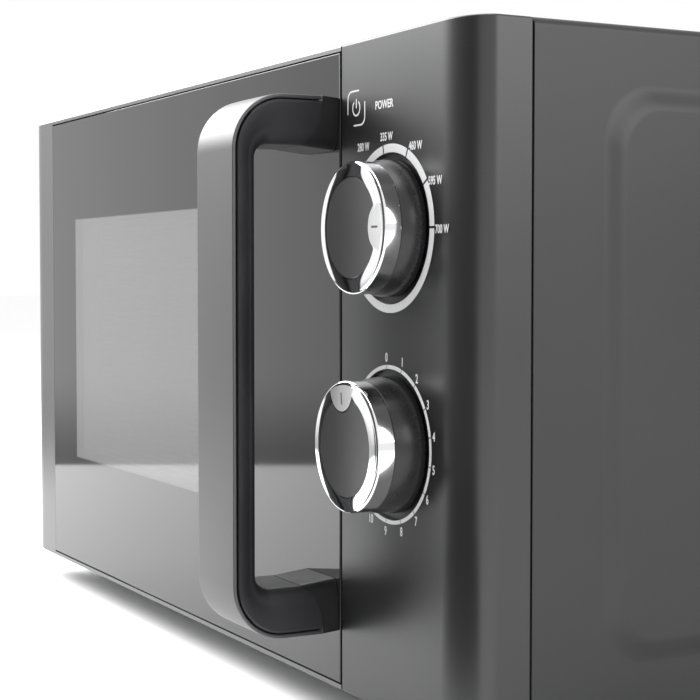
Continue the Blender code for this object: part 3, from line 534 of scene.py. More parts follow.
GRAPHITE_PANEL = MetallicPaint("graphite_panel", (0.068, 0.068, 0.069), 0.34, 0.90)
GRAPHITE_FRAME = MetallicPaint("graphite_frame", (0.120, 0.120, 0.121), 0.34, 0.90)
GRAPHITE_STEEL = MetallicPaint("graphite_steel", (0.055, 0.055, 0.056), 0.40, 0.80, peel=0.0030,
                               peel_relief=0.000012)
PLATE = MirrorPlate("mirror_plate", (0.010, 0.010, 0.010), 0.05, 0.0)
BLACK = Moulded("black_moulding", (0.011, 0.011, 0.012), 0.36)
SOFT_BLACK = Moulded("soft_black_core", (0.016, 0.016, 0.018), 0.42, grain=0.0004)
KNOB_BLACK = Moulded("dial_black", (0.012, 0.012, 0.013), 0.30, grain=0.0004, relief=0.000002)
SATIN = MetallicPaint("satin_strip", (0.118, 0.118, 0.120), 0.44, 0.95, flake=0.0002, flake_relief=0.0000006,
                      peel_relief=0.000003)
LOBE = Brushed("pointer_lobe", (0.80, 0.80, 0.80), 0.36, 1.0)
CHROME = Plated("bright_plating", (0.86, 0.86, 0.87), 0.05, 1.0)
CAP = MetallicPaint("dial_cap", (0.105, 0.105, 0.106), 0.32, 0.85, flake=0.00025)
ENAMEL = Enamelled("oven_enamel", (0.42, 0.425, 0.43), 0.30)
SCREEN_ENAMEL = Enamelled("screen_enamel", (0.80, 0.80, 0.80), 0.45)
ZINC = Galvanised("zinc_coat", (0.56, 0.57, 0.58), 0.36, 1.0)
ALUMINIUM = Brushed("rolled_aluminium", (0.75, 0.75, 0.76), 0.30, 1.0, along=Axis.Y)
LAMINATED = Layered("laminated_steel", (0.18, 0.18, 0.19), 0.50, 0.8)
WINDINGS = Layered("enamelled_windings", (0.55, 0.22, 0.09), 0.32, 0.9, across=Axis.Z, pitch=0.0007)
MICA = Mica("mica_board", (0.46, 0.42, 0.33), 0.55)
BOARD = Moulded("circuit_board", (0.075, 0.16, 0.06), 0.42)
NYLON = Moulded("white_nylon", (0.72, 0.71, 0.67), 0.42)
RUBBER = Moulded("foot_rubber", (0.018, 0.018, 0.018), 0.70, grain=0.0009, relief=0.00002)
TRAY_GLASS = ClearPart("tray_glass", (0.93, 0.97, 0.955), 0.02)
PANE = ClearPart("inner_pane", (0.97, 0.97, 0.97), 0.04)
BULB = ClearPart("bulb_glass", (0.98, 0.96, 0.92), 0.03)
INK = Ink("pale_print", (0.50, 0.50, 0.505), 0.5)
MARK = Ink("dark_mark", (0.05, 0.05, 0.05), 0.5)
SCREW_STEEL = Galvanised("screw_steel", (0.45, 0.45, 0.46), 0.30, 1.0, spangle=0.002)
BLUE_LEAD = Moulded("blue_lead", (0.03, 0.08, 0.32), 0.4)
RED_LEAD = Moulded("red_lead", (0.40, 0.02, 0.02), 0.4)
FLOOR = StudioFloor("studio_floor", (0.80, 0.80, 0.80), 0.9)


# Shapes


def arc(centre: Pair, radii: Pair, start: float, end: float, steps: int) -> list[Pair]:
    """Returns points of an elliptical arc.

    Args:
        centre: the middle of the ellipse.
        radii: its half axes.
        start: the first angle, in degrees.
        end: the last angle, in degrees.
        steps: how many chords.

    Returns:
        The points.
    """
    angles = [math.radians(start + (end - start) * i / steps) for i in range(steps + 1)]
    return [(centre[0] + radii[0] * math.cos(a), centre[1] + radii[1] * math.sin(a)) for a in angles]


def rounded(a0: float, a1: float, b0: float, b1: float, radius: float, steps: int = 8) -> list[Pair]:
    """Returns the outline of a rectangle with round corners.

    Args:
        a0: its left side.
        a1: its right side.
        b0: its lower side.
        b1: its upper side.
        radius: the corners' radius.
        steps: chords in each corner.

    Returns:
        The points.
    """
    corners = (((a1 - radius, b0 + radius), -90), ((a1 - radius, b1 - radius), 0),
               ((a0 + radius, b1 - radius), 90), ((a0 + radius, b0 + radius), 180))
    return [p for centre, start in corners for p in arc(centre, (radius, radius), start, start + 90, steps)]


def blend(first: Pair, second: Pair, share: float) -> Pair:
    """Returns the point a share of the way from one point to another."""
    return first[0] + (second[0] - first[0]) * share, first[1] + (second[1] - first[1]) * share


def linked(name: str, data: bpy.types.ID) -> bpy.types.Object:
    """Makes an object in the scene and returns it."""
    made = bpy.data.objects.new(name, data)
    bpy.context.scene.collection.objects.link(made)
    return made


def evaluated(made: bpy.types.Object) -> bpy.types.Mesh:
    """Returns an object's shape as a new mesh, with its modifiers applied."""
    return bpy.data.meshes.new_from_object(made.evaluated_get(bpy.context.evaluated_depsgraph_get()))


PLACES: dict[Axis, Callable[[float, float, float], Point]] = {
    Axis.X: lambda a, b, h: (h, a, b), Axis.Y: lambda a, b, h: (a, h, b), Axis.Z: lambda a, b, h: (a, b, h)}
TURNS = {Axis.X: Matrix.Rotation(math.pi / 2, 4, "Y"), Axis.Y: Matrix.Rotation(-math.pi / 2, 4, "X"),
         Axis.Z: Matrix.Identity(4)}


class Shape:
    """A mesh while it is being modelled."""

    def __init__(self) -> None:
        """Starts with nothing."""
        self.bm = bmesh.new()

    @classmethod
    def block(cls, x0: float, x1: float, y0: float, y1: float, z0: float, z1: float) -> Shape:
        """Makes a box.

        Args:
            x0: its left side.
            x1: its right side.
            y0: its front.
            y1: its back.
            z0: its underside.
            z1: its top.

        Returns:
            The solid.
        """
        made = cls()
        bmesh.ops.create_cube(made.bm, size=1.0)
        bmesh.ops.scale(made.bm, vec=(x1 - x0, y1 - y0, z1 - z0), verts=made.bm.verts)
        middle = ((x0 + x1) / 2, (y0 + y1) / 2, (z0 + z1) / 2)
        bmesh.ops.translate(made.bm, vec=middle, verts=made.bm.verts)
        return made

    @classmethod
    def prism(cls, outline: Sequence[Pair], axis: Axis, start: float, end: float) -> Shape:
        """Extrudes a closed outline along an axis.

        Args:
            outline: pairs on the other two axes, in order.
            axis: the axis to extrude along.
            start: where it starts.
            end: where it ends.

        Returns:
            The solid.
        """
        made = cls()
        place = PLACES[axis]
        face = made.bm.faces.new([made.bm.verts.new(place(a, b, start)) for a, b in outline])
        side = bmesh.ops.extrude_face_region(made.bm, geom=[face])
        moved = [v for v in side["geom"] if isinstance(v, bmesh.types.BMVert)]
        bmesh.ops.translate(made.bm, vec=place(0.0, 0.0, end - start), verts=moved)
        bmesh.ops.recalc_face_normals(made.bm, faces=made.bm.faces)
        return made

    @classmethod
    def drum(cls, centre: Point, axis: Axis, radius: float, length: float, segments: int) -> Shape:
        """Makes a cylinder that starts at a point and runs along an axis.

        Args:
            centre: the middle of its first end.
            axis: the axis that it runs along.
            radius: its radius.
            length: its length.
            segments: its sides.

        Returns:
            The solid.
        """
        made = cls()
        bmesh.ops.create_cone(made.bm, cap_ends=True, segments=segments, radius1=radius,
                              radius2=radius, depth=length)
        bmesh.ops.translate(made.bm, vec=(0, 0, length / 2), verts=made.bm.verts)
        return made.placed(Matrix.Translation(centre) @ TURNS[axis])

    @classmethod
    def turned(cls, profile: Sequence[Pair], centre: Point, axis: Axis, segments: int = 96) -> Shape:
        """Turns a closed (radius, height) profile round an axis.

        Args:
            profile: the profile's points in order.
            centre: the point where radius and height are 0.
            axis: the axis.
            segments: steps in the full turn.

        Returns:
            The solid.
        """
        made = cls()
        rim = [made.bm.verts.new((radius, 0.0, height)) for radius, height in profile]
        edges = [made.bm.edges.new((a, b)) for a, b in zip(rim, rim[1:] + rim[:1])]
        bmesh.ops.spin(made.bm, geom=rim + edges, cent=(0, 0, 0), axis=(0, 0, 1), angle=math.tau,
                       steps=segments, use_merge=True)
        bmesh.ops.remove_doubles(made.bm, verts=made.bm.verts, dist=1e-7)
        bmesh.ops.dissolve_degenerate(made.bm, edges=made.bm.edges, dist=1e-7)
        made.placed(Matrix.Translation(centre) @ TURNS[axis])
        bmesh.ops.recalc_face_normals(made.bm, faces=made.bm.faces)
        return made

    @classmethod
    def loft(cls, rings: Sequence[Sequence[Point]], closed: bool = False) -> Shape:
        """Draws a skin over rings that have the same number of points.

        Args:
            rings: the rings, each closed on itself.
            closed: whether the last ring joins the first; otherwise both ends are capped.

        Returns:
            The solid.
        """
        made = cls()
        verts = [made.bm.verts.new(p) for p in rings[0]]
        edges = [made.bm.edges.new((a, b)) for a, b in zip(verts, verts[1:] + verts[:1])]
        for ring in rings[1:]:
            verts, edges = made.grown(verts, edges, ring)
        if closed:
            bmesh.ops.remove_doubles(made.bm, verts=made.bm.verts, dist=1e-7)
        else:
            open_edges = [e for e in made.bm.edges if e.is_boundary]
            bmesh.ops.holes_fill(made.bm, edges=open_edges, sides=0)
        bmesh.ops.recalc_face_normals(made.bm, faces=made.bm.faces)
        return made

    def grown(self, verts: list[bmesh.types.BMVert], edges: list[bmesh.types.BMEdge],
              places: Sequence[Point]) -> tuple[list[bmesh.types.BMVert], list[bmesh.types.BMEdge]]:
        """Extrudes a ring of edges to new places.

        Args:
            verts: the ring's points in order.
            edges: its edges.
            places: where each new point goes.

        Returns:
            The new ring's points, in order, and its edges.
        """
        index = {v.co.copy().freeze(): i for i, v in enumerate(verts)}
        made = bmesh.ops.extrude_edge_only(self.bm, edges=edges)["geom"]
        fresh = sorted((v for v in made if isinstance(v, bmesh.types.BMVert)),
                       key=lambda v: index[v.co.copy().freeze()])
        for vert, place in zip(fresh, places):
            vert.co = place
        return fresh, [e for e in made if isinstance(e, bmesh.types.BMEdge)]

    def placed(self, matrix: Matrix) -> Shape:
        """Moves the shape by a matrix."""
        bmesh.ops.transform(self.bm, matrix=matrix, verts=self.bm.verts)
        return self

    def bevelled(self, width: float, segments: int, chosen: Callable[[bmesh.types.BMEdge], bool]) -> Shape:
        """Rounds the edges that pass a test.

        Args:
            width: the bevel's width.
            segments: its steps.
            chosen: the test.

        Returns:
            This shape.
        """
        edges = [edge for edge in self.bm.edges if chosen(edge)]
        bmesh.ops.bevel(self.bm, geom=edges, offset=width, segments=segments, profile=0.5, affect="EDGES",
                        material=-1)
        return self

    def joined(self, *others: Shape) -> Shape:
        """Adds other shapes as they are, without merging them."""
        for other in others:
            mesh = other.mesh("joined")
            self.bm.from_mesh(mesh)
            bpy.data.meshes.remove(mesh)
        return self

    def mesh(self, name: str) -> bpy.types.Mesh:
        """Ends the modelling and returns the mesh."""
        made = bpy.data.meshes.new(name)
        self.bm.to_mesh(made)
        self.bm.free()
        return made

    def cut(self, *tools: Shape) -> Shape:
        """Cuts other shapes out of this one.

        Args:
            *tools: closed shapes, one cut each.

        Returns:
            This shape.
        """
        for tool in tools:
            body = linked("body", bpy.data.meshes.new("body"))
            self.bm.to_mesh(body.data)
            cutter = linked("cutter", tool.mesh("cutter"))
            change = body.modifiers.new("cut", "BOOLEAN")
            change.operation = "DIFFERENCE"
            change.solver = "EXACT"
            change.object = cutter
            mesh = evaluated(body)
            self.bm.clear()
            self.bm.from_mesh(mesh)
            for old in (body.data, cutter.data, mesh):
                bpy.data.meshes.remove(old)
        return self

    def piece(self, name: str, finish: Finish, body: str, slot: Slot, stands_for: Sequence[str] = (),
              sharp: float = 32.0) -> bpy.types.Object:
        """Makes the shape a finished piece of the oven.

        Args:
            name: the piece's name.
            finish: its finish.
            body: the CAD body that it rides on.
            slot: the record's slot for its finish, which is not used.
            stands_for: the CAD nodes that it stands for.
            sharp: the angle in degrees above which an edge stays sharp.

        Returns:
            The piece.
        """
        return dressed(self.mesh(name), name, finish, body, stands_for, sharp)


def dressed(mesh: bpy.types.Mesh, name: str, finish: Finish, body: str,
            stands_for: Sequence[str] = (), sharp: float = 32.0) -> bpy.types.Object:
    """Makes a mesh a finished piece that rides on a body.

    Args:
        mesh: the mesh, already in place.
        name: the piece's name.
        finish: its finish.
        body: the CAD body that it rides on.
        stands_for: the CAD nodes that it stands for.
        sharp: the angle in degrees above which an edge stays sharp.

    Returns:
        The piece.
    """
    mesh.materials.clear()
    mesh.materials.append(finish.material())
    mesh.shade_smooth()
    mesh.set_sharp_from_angle(angle=math.radians(sharp))
    made = linked(name, mesh)
    even = made.modifiers.new("even_shading", "WEIGHTED_NORMAL")
    even.keep_sharp = True
    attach(made, body)
    if stands_for:
        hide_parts(*stands_for)
    LOG.info("piece %s on %s: %d faces", name, body, len(mesh.polygons))
    return made


def thickened(made: bpy.types.Object, thickness: float, offset: float) -> None:
    """Gives a one-face sheet its thickness, ahead of the even shading.

    Args:
        made: the sheet's piece.
        thickness: the thickness.
        offset: -1 to grow inwards and 0 to grow both ways.
    """
    wall = made.modifiers.new("sheet_thickness", "SOLIDIFY")
    wall.thickness = thickness
    wall.offset = offset
    made.modifiers.move(0, len(made.modifiers) - 1)


def in_plane(axis: int, *planes: float) -> Callable[[bmesh.types.BMEdge], bool]:
    """Returns a test for edges that lie in one of some planes across an axis."""
    def chosen(edge: bmesh.types.BMEdge) -> bool:
        """Tests one edge."""
        return any(all(abs(v.co[axis] - plane) < 1e-6 for v in edge.verts) for plane in planes)
    return chosen


def curve_mesh(curve: bpy.types.Curve) -> bpy.types.Mesh:
    """Turns a curve into a mesh.

    Args:
        curve: the curve, which is removed.

    Returns:
        The mesh.
    """
    carrier = linked(curve.name, curve)
    mesh = evaluated(carrier)
    bpy.data.objects.remove(carrier)
    bpy.data.curves.remove(curve)
    return mesh


def printed(outline: Sequence[Pair]) -> Shape:
    """Prints a flat (X, Z) outline on the control panel."""
    return Shape.prism(outline, Axis.Y, FRONT - INK_THICK, FRONT + 0.00001)


def lettering(text: str, centre: Pair, height: float, narrow: float = 0.82) -> Shape:
    """Sets printed figures flat on the control panel.

    Args:
        text: the figures.
        centre: the X and Z of their middle.
        height: the height of the figures.
        narrow: how far they are condensed.

    Returns:
        The figures as a thin relief.
    """
    curve = bpy.data.curves.new("lettering", "FONT")
    curve.body = text
    curve.align_x = "CENTER"
    curve.size = height / CAPITALS
    curve.resolution_u = 4
    curve.offset = 0.02 * curve.size
    curve.extrude = 0.00002
    mesh = curve_mesh(curve)
    made = Shape()
    made.bm.from_mesh(mesh)
    bpy.data.meshes.remove(mesh)
    upright = Matrix.Rotation(math.pi / 2, 4, "X")
    place = Matrix.Translation((centre[0], FRONT - INK_THICK, centre[1] - height / 2))
    return made.placed(place @ upright @ Matrix.Diagonal((narrow, 1.0, 1.0, 1.0)))


def screw(centre: Point, normal: Point, radius: float = 0.0034, head: float = 0.0018) -> Shape:
    """Makes a pan-head screw with a crossed recess, its seat at a point and its head along a normal."""
    dome = [(0.0, 0.0)] + arc((0.0, 0.0), (radius, head), 0, 90, 6)
    made = Shape.turned(dome, (0, 0, 0), Axis.Z, 24)
    half, width = radius * 0.55, radius * 0.11
    cross = (Shape.block(-half, half, -width, width, head * 0.45, head * 2),
             Shape.block(-width, width, -half, half, head * 0.45, head * 2))
    made.cut(*cross)
    turn = Vector((0, 0, 1)).rotation_difference(Vector(normal)).to_matrix().to_4x4()
    return made.placed(Matrix.Translation(centre) @ turn)


# Sub-assemblies


@dataclass
class Cabinet:
    """The painted steel wrap with a pressed panel on each side, the four feet and the rear screws."""

    bend: float = 0.0030
    rise: float = 0.0020
    slope: float = 0.0090
    press_y: Pair = (-0.09475, 0.16225)
    press_z: Pair = (0.0365, 0.2375)
    press_corner: float = 0.020
    slots: int = 16
    slot_pitch: float = 0.008
    slot_low: float = 0.065
    slot_y: Pair = (0.16625, 0.18125)
    slot_height: float = 0.003
    foot_places: tuple[Pair, ...] = ((-0.195, -0.09775), (-0.195, 0.14725), (0.195, -0.09775),
                                     (0.195, 0.14725))
    screw_seat: float = 0.18705
    screw_places: tuple[Pair, ...] = ((-0.222, 0.245), (-0.222, 0.135), (-0.222, 0.025), (0.0, 0.2495),
                                      (0.2235, 0.245), (0.2235, 0.130), (0.2235, 0.025), (0.0, 0.0225))

    def side(self, sign: int) -> Shape:
        """Builds one side sheet, with its pressed panel raised in a soft S.

        Args:
            sign: 1 for the right side and -1 for the left.

        Returns:
            The sheet, one face thick.
        """
        steps = 10
        top = TOP - self.bend
        made = Shape()
        frame = [(WRAP_FRONT, BOTTOM), (BACK, BOTTOM), (BACK, top), (WRAP_FRONT, top)]
        loops = []
        for i in range(steps + 1):
            share = i / steps
            lift = self.rise * share * share * (3 - 2 * share)
            shrink = self.slope * share
            outline = rounded(self.press_y[0] + shrink, self.press_y[1] - shrink, self.press_z[0] + shrink,
                              self.press_z[1] - shrink, self.press_corner - shrink / 2, 10)
            loops.append([(sign * (HALF + lift), y, z) for y, z in outline])
        verts = [made.bm.verts.new(p) for p in loops[0]]
        edges = [made.bm.edges.new(pair) for pair in zip(verts, verts[1:] + verts[:1])]
        slots = [self.slot_outline(made, i) for i in range(self.slots)] if sign < 0 else []
        outer = [made.bm.verts.new((sign * HALF, y, z)) for y, z in frame]
        rims = [made.bm.edges.new(pair) for pair in zip(outer, outer[1:] + outer[:1])]
        for hole in slots:
            rims.extend(made.bm.edges.new(pair) for pair in zip(hole, hole[1:] + hole[:1]))
        bmesh.ops.triangle_fill(made.bm, use_beauty=True, use_dissolve=True, edges=rims + edges,
                                normal=(sign, 0, 0))
        for loop in loops[1:]:
            verts, edges = made.grown(verts, edges, loop)
        bmesh.ops.contextual_create(made.bm, geom=edges)
        return made

    def slot_outline(self, made: Shape, number: int) -> list[bmesh.types.BMVert]:
        """Adds the corner points of one vent slot of the left side and returns them."""
        low = self.slot_low + self.slot_pitch * number
        outline = rounded(*self.slot_y, low, low + self.slot_height, 0.0014, 4)
        return [made.bm.verts.new((-HALF, y, z)) for y, z in outline]

    def top(self) -> Shape:
        """Builds the top sheet with both of its bends, one face thick."""
        inner = HALF - self.bend
        line = (arc((inner, TOP - self.bend), (self.bend, self.bend), 0, 90, 8)
                + arc((-inner, TOP - self.bend), (self.bend, self.bend), 90, 180, 8))
        made = Shape()
        verts = [made.bm.verts.new((x, WRAP_FRONT, z)) for x, z in line]
        edges = [made.bm.edges.new(pair) for pair in zip(verts, verts[1:])]
        grown = bmesh.ops.extrude_edge_only(made.bm, edges=edges)["geom"]
        moved = [v for v in grown if isinstance(v, bmesh.types.BMVert)]
        bmesh.ops.translate(made.bm, vec=(0, BACK - WRAP_FRONT, 0), verts=moved)
        return made

    def wrap(self) -> None:
        """Builds the wrap."""
        sheet = self.top().joined(self.side(1), self.side(-1))
        bmesh.ops.remove_doubles(sheet.bm, verts=sheet.bm.verts, dist=1e-5)
        bmesh.ops.recalc_face_normals(sheet.bm, faces=sheet.bm.faces)
        lid = max(sheet.bm.faces, key=lambda f: f.calc_center_median().z)
        lid.normal_update()
        if lid.normal.z < 0:
            bmesh.ops.reverse_faces(sheet.bm, faces=sheet.bm.faces)
        made = sheet.piece("cabinet_wrap_sheet", GRAPHITE_STEEL, "cabinet", Slot.CABINET, ["cabinet_wrap"])
        thickened(made, STEEL, -1.0)

    def feet(self) -> None:
        """Builds the four moulded feet, each with a ribbed skirt and a recess under it."""
        for number, (x, y) in enumerate(self.foot_places, start=1):
            profile = [(0, 0.0016), (0.0052, 0.0016), (0.0058, 0.0), (0.0088, 0.0)]
            profile += arc((0.0088, 0.0012), (0.0012, 0.0012), -90, 0, 4)[1:]
            profile += [(0.0108, 0.0045), (0.0113, 0.0049), (0.0111, 0.0056), (0.0119, 0.0105),
                        (0.0124, 0.0112), (0.0125, 0.0147), (0, 0.0147)]
            foot = Shape.turned(profile, (x, y, 0), Axis.Z, 48)
            foot.piece(f"moulded_foot_{number}", RUBBER, "cabinet", Slot.RUBBER, [f"foot_{number}"])

    def screws(self) -> None:
        """Builds the screws that hold the rear panel."""
        heads = Shape()
        for x, z in self.screw_places:
            heads.joined(screw((x, self.screw_seat, z), (0, 1, 0)))
        heads.piece("rear_screws", SCREW_STEEL, "cabinet", Slot.ZINC)

    def build(self) -> None:
        """Builds every piece."""
        self.wrap()
        self.feet()
        self.screws()


@dataclass
class Door:
    """The moulded door frame, the mirror plate, the choke pan with its perforated screen, and the spring."""

    depth: float = 0.0225
    hinge: Pair = (-0.2199, FRONT + 0.0118)
    hinge_radius: float = 0.0108
    glass_left: float = -0.1925
    glass_thick: float = 0.0030
    lip: float = 0.0024
    window: tuple[float, float, float, float] = (-0.1600, 0.0710, 0.0780, 0.2080)
    pan: tuple[float, float, float, float] = (-0.2130, 0.1215, 0.0275, 0.2465)
    raised: tuple[float, float, float, float] = (-0.1760, 0.0840, 0.0640, 0.2180)
    pocket: tuple[float, float, float, float] = (0.1245, 0.1360, 0.060, 0.226)
    arm_heights: Pair = (0.0195, 0.2520)
    hole_pitch: float = 0.0032
    hole_wall: float = 0.0005
    spring_centre: Pair = (0.1302, FRONT + 0.0135)
    spring_ends: Pair = (0.2074, 0.2252)
    spring_radius: float = 0.0026
    spring_wire: float = 0.00035
    spring_turns: int = 7

    def outline(self, rear: float) -> list[Pair]:
        """Returns the frame's plan, with its round front corner and the corner that turns past the hinge."""
        right = SEAM - SLIT
        left = self.hinge[0] - self.hinge_radius
        end_angle = 180 - math.degrees(math.asin((rear - self.hinge[1]) / self.hinge_radius))
        corner = arc((left + CORNER[0], FRONT + CORNER[1]), CORNER, 270, 180, 24)
        back = arc(self.hinge, (self.hinge_radius, self.hinge_radius), 180, end_angle, 8)
        return [(right, rear), (right, FRONT)] + corner + back

    def frame(self) -> None:
        """Builds the moulded frame with its pockets."""
        rear = FRONT + self.depth
        low, high = BOTTOM + 0.0003, TOP - 0.0003
        made = Shape.prism(self.outline(rear), Axis.Z, low, high).bevelled(0.0007, 3, in_plane(2, low, high))
        gap = 0.0003
        made.cut(
            Shape.block(self.glass_left - gap, SEAM + REACH_THROUGH, FRONT - REACH_THROUGH,
                        FRONT + self.glass_thick + gap, BOTTOM + self.lip, TOP - self.lip),
            Shape.block(self.pan[0] - 0.0005, self.pan[1] + 0.0005, FRONT + 0.0055, rear + REACH_THROUGH,
                        self.pan[2] - 0.0005, self.pan[3] + 0.0005),
            Shape.block(*self.window[:2], FRONT - REACH_THROUGH, FRONT + REACH_THROUGH, *self.window[2:]),
            Shape.block(*self.pocket[:2], FRONT + 0.0065, rear + REACH_THROUGH, *self.pocket[2:]))
        for height in self.arm_heights:
            made.cut(Shape.block(-HALF - REACH_THROUGH, self.hinge[0] + 0.0070, self.hinge[1] - 0.0070,
                                 rear + REACH_THROUGH, height - 0.0006, height + 0.0021))
        made.piece("door_frame_moulding", GRAPHITE_FRAME, "door", Slot.CONTROL, ["door_frame"])

    def plate(self) -> None:
        """Builds the mirror plate with its ground edge."""
        front = FRONT - 0.0002
        made = Shape.block(self.glass_left, SEAM - SLIT - 0.0006, front, FRONT + self.glass_thick,
                           BOTTOM + self.lip + 0.0005, TOP - self.lip - 0.0005)
        made.bevelled(0.0005, 3, in_plane(1, front))
        made.piece("door_mirror_plate", PLATE, "door", Slot.MIRROR, ["door_glass"])

    def screen(self) -> None:
        """Builds the choke pan: the channel round the edge, and the perforated sheet in its raised middle."""
        x0, x1, z0, z1 = self.pan
        a0, a1, b0, b1 = self.raised
        front, rear = FRONT + 0.0060, FRONT + 0.0198
        margin = 0.0075
        rings = []
        for sides, depth in (((x0, x1, z0, z1), rear), ((x0, x1, z0, z1), front), ((a0, a1, b0, b1), front),
                             ((a0, a1, b0, b1), rear),
                             ((a0 + margin, a1 - margin, b0 + margin, b1 - margin), rear)):
            rings.append([(x, depth, z) for x, z in rounded(*sides, 0.003, 5)])
        pan = Shape.loft(rings)
        filled = [f for f in pan.bm.faces if len(f.verts) > 4]
        bmesh.ops.delete(pan.bm, geom=filled, context="FACES_ONLY")
        thickened(pan.piece("door_choke_pan", SCREEN_ENAMEL, "door", Slot.ZINC, ["door_screen"]), STEEL, 0.0)
        self.perforated(a0 + margin, a1 - margin, b0 + margin, b1 - margin, rear - STEEL / 2)

    def perforated(self, x0: float, x1: float, z0: float, z1: float, depth: float) -> None:
        """Builds the perforated sheet, one six-sided hole in each cell of a staggered grid.

        Args:
            x0: its left edge.
            x1: its right edge.
            z0: its lower edge.
            z1: its upper edge.
            depth: the Y of its middle.
        """
        pitch_z = self.hole_pitch * math.sqrt(3) / 2
        columns = int((x1 - x0) / self.hole_pitch) + 1
        rows = int((z1 - z0) / pitch_z / 2) + 1
        cell = Shape()
        reach = self.hole_pitch / math.sqrt(3)
        for row in range(2):
            ring = bmesh.ops.create_circle(cell.bm, cap_ends=True, segments=6, radius=reach)["verts"]
            bmesh.ops.translate(cell.bm, vec=(row * self.hole_pitch / 2, row * pitch_z, 0.0), verts=ring)
        holes = bmesh.ops.inset_individual(cell.bm, faces=list(cell.bm.faces), thickness=self.hole_wall,
                                           depth=0.0, use_even_offset=True)
        centres = [f for f in cell.bm.faces if f not in set(holes["faces"])]
        bmesh.ops.delete(cell.bm, geom=centres, context="FACES_ONLY")
        bmesh.ops.remove_doubles(cell.bm, verts=cell.bm.verts, dist=1e-6)
        cell.placed(Matrix.Translation((x0, depth, z0)) @ Matrix.Rotation(math.pi / 2, 4, "X"))
        made = cell.piece("door_perforated_screen", SCREEN_ENAMEL, "door", Slot.ZINC)
        for label, count, offset in (("columns", columns, (self.hole_pitch, 0.0, 0.0)),
                                     ("rows", rows, (0.0, 0.0, 2 * pitch_z))):
            repeat = made.modifiers.new(label, "ARRAY")
            repeat.count = count
            repeat.use_relative_offset = False
            repeat.use_constant_offset = True
            repeat.constant_offset_displace = offset
            repeat.use_merge_vertices = True
            repeat.merge_threshold = 1e-5
        thickened(made, STEEL * 0.6, 0.0)

    def latch_spring(self) -> None:
        """Builds the coil spring that holds the latch slide down."""
        low, high = self.spring_ends[0] + self.spring_wire, self.spring_ends[1] - self.spring_wire
        curve = bpy.data.curves.new("latch_spring", "CURVE")
        curve.dimensions = "3D"
        curve.bevel_depth = self.spring_wire
        curve.bevel_resolution = 2
        spline = curve.splines.new("POLY")
        count = self.spring_turns * 20
        spline.points.add(count)
        for i in range(count + 1):
            share = i / count
            angle = math.tau * self.spring_turns * share
            x = self.spring_centre[0] + self.spring_radius * math.cos(angle)
            y = self.spring_centre[1] + self.spring_radius * math.sin(angle)
            spline.points[i].co = (x, y, low + (high - low) * share, 1.0)
        dressed(curve_mesh(curve), "latch_spring", SCREW_STEEL, "door", sharp=60)

    def build(self) -> None:
        """Builds every piece."""
        self.frame()
        self.plate()
        self.screen()
        self.latch_spring()


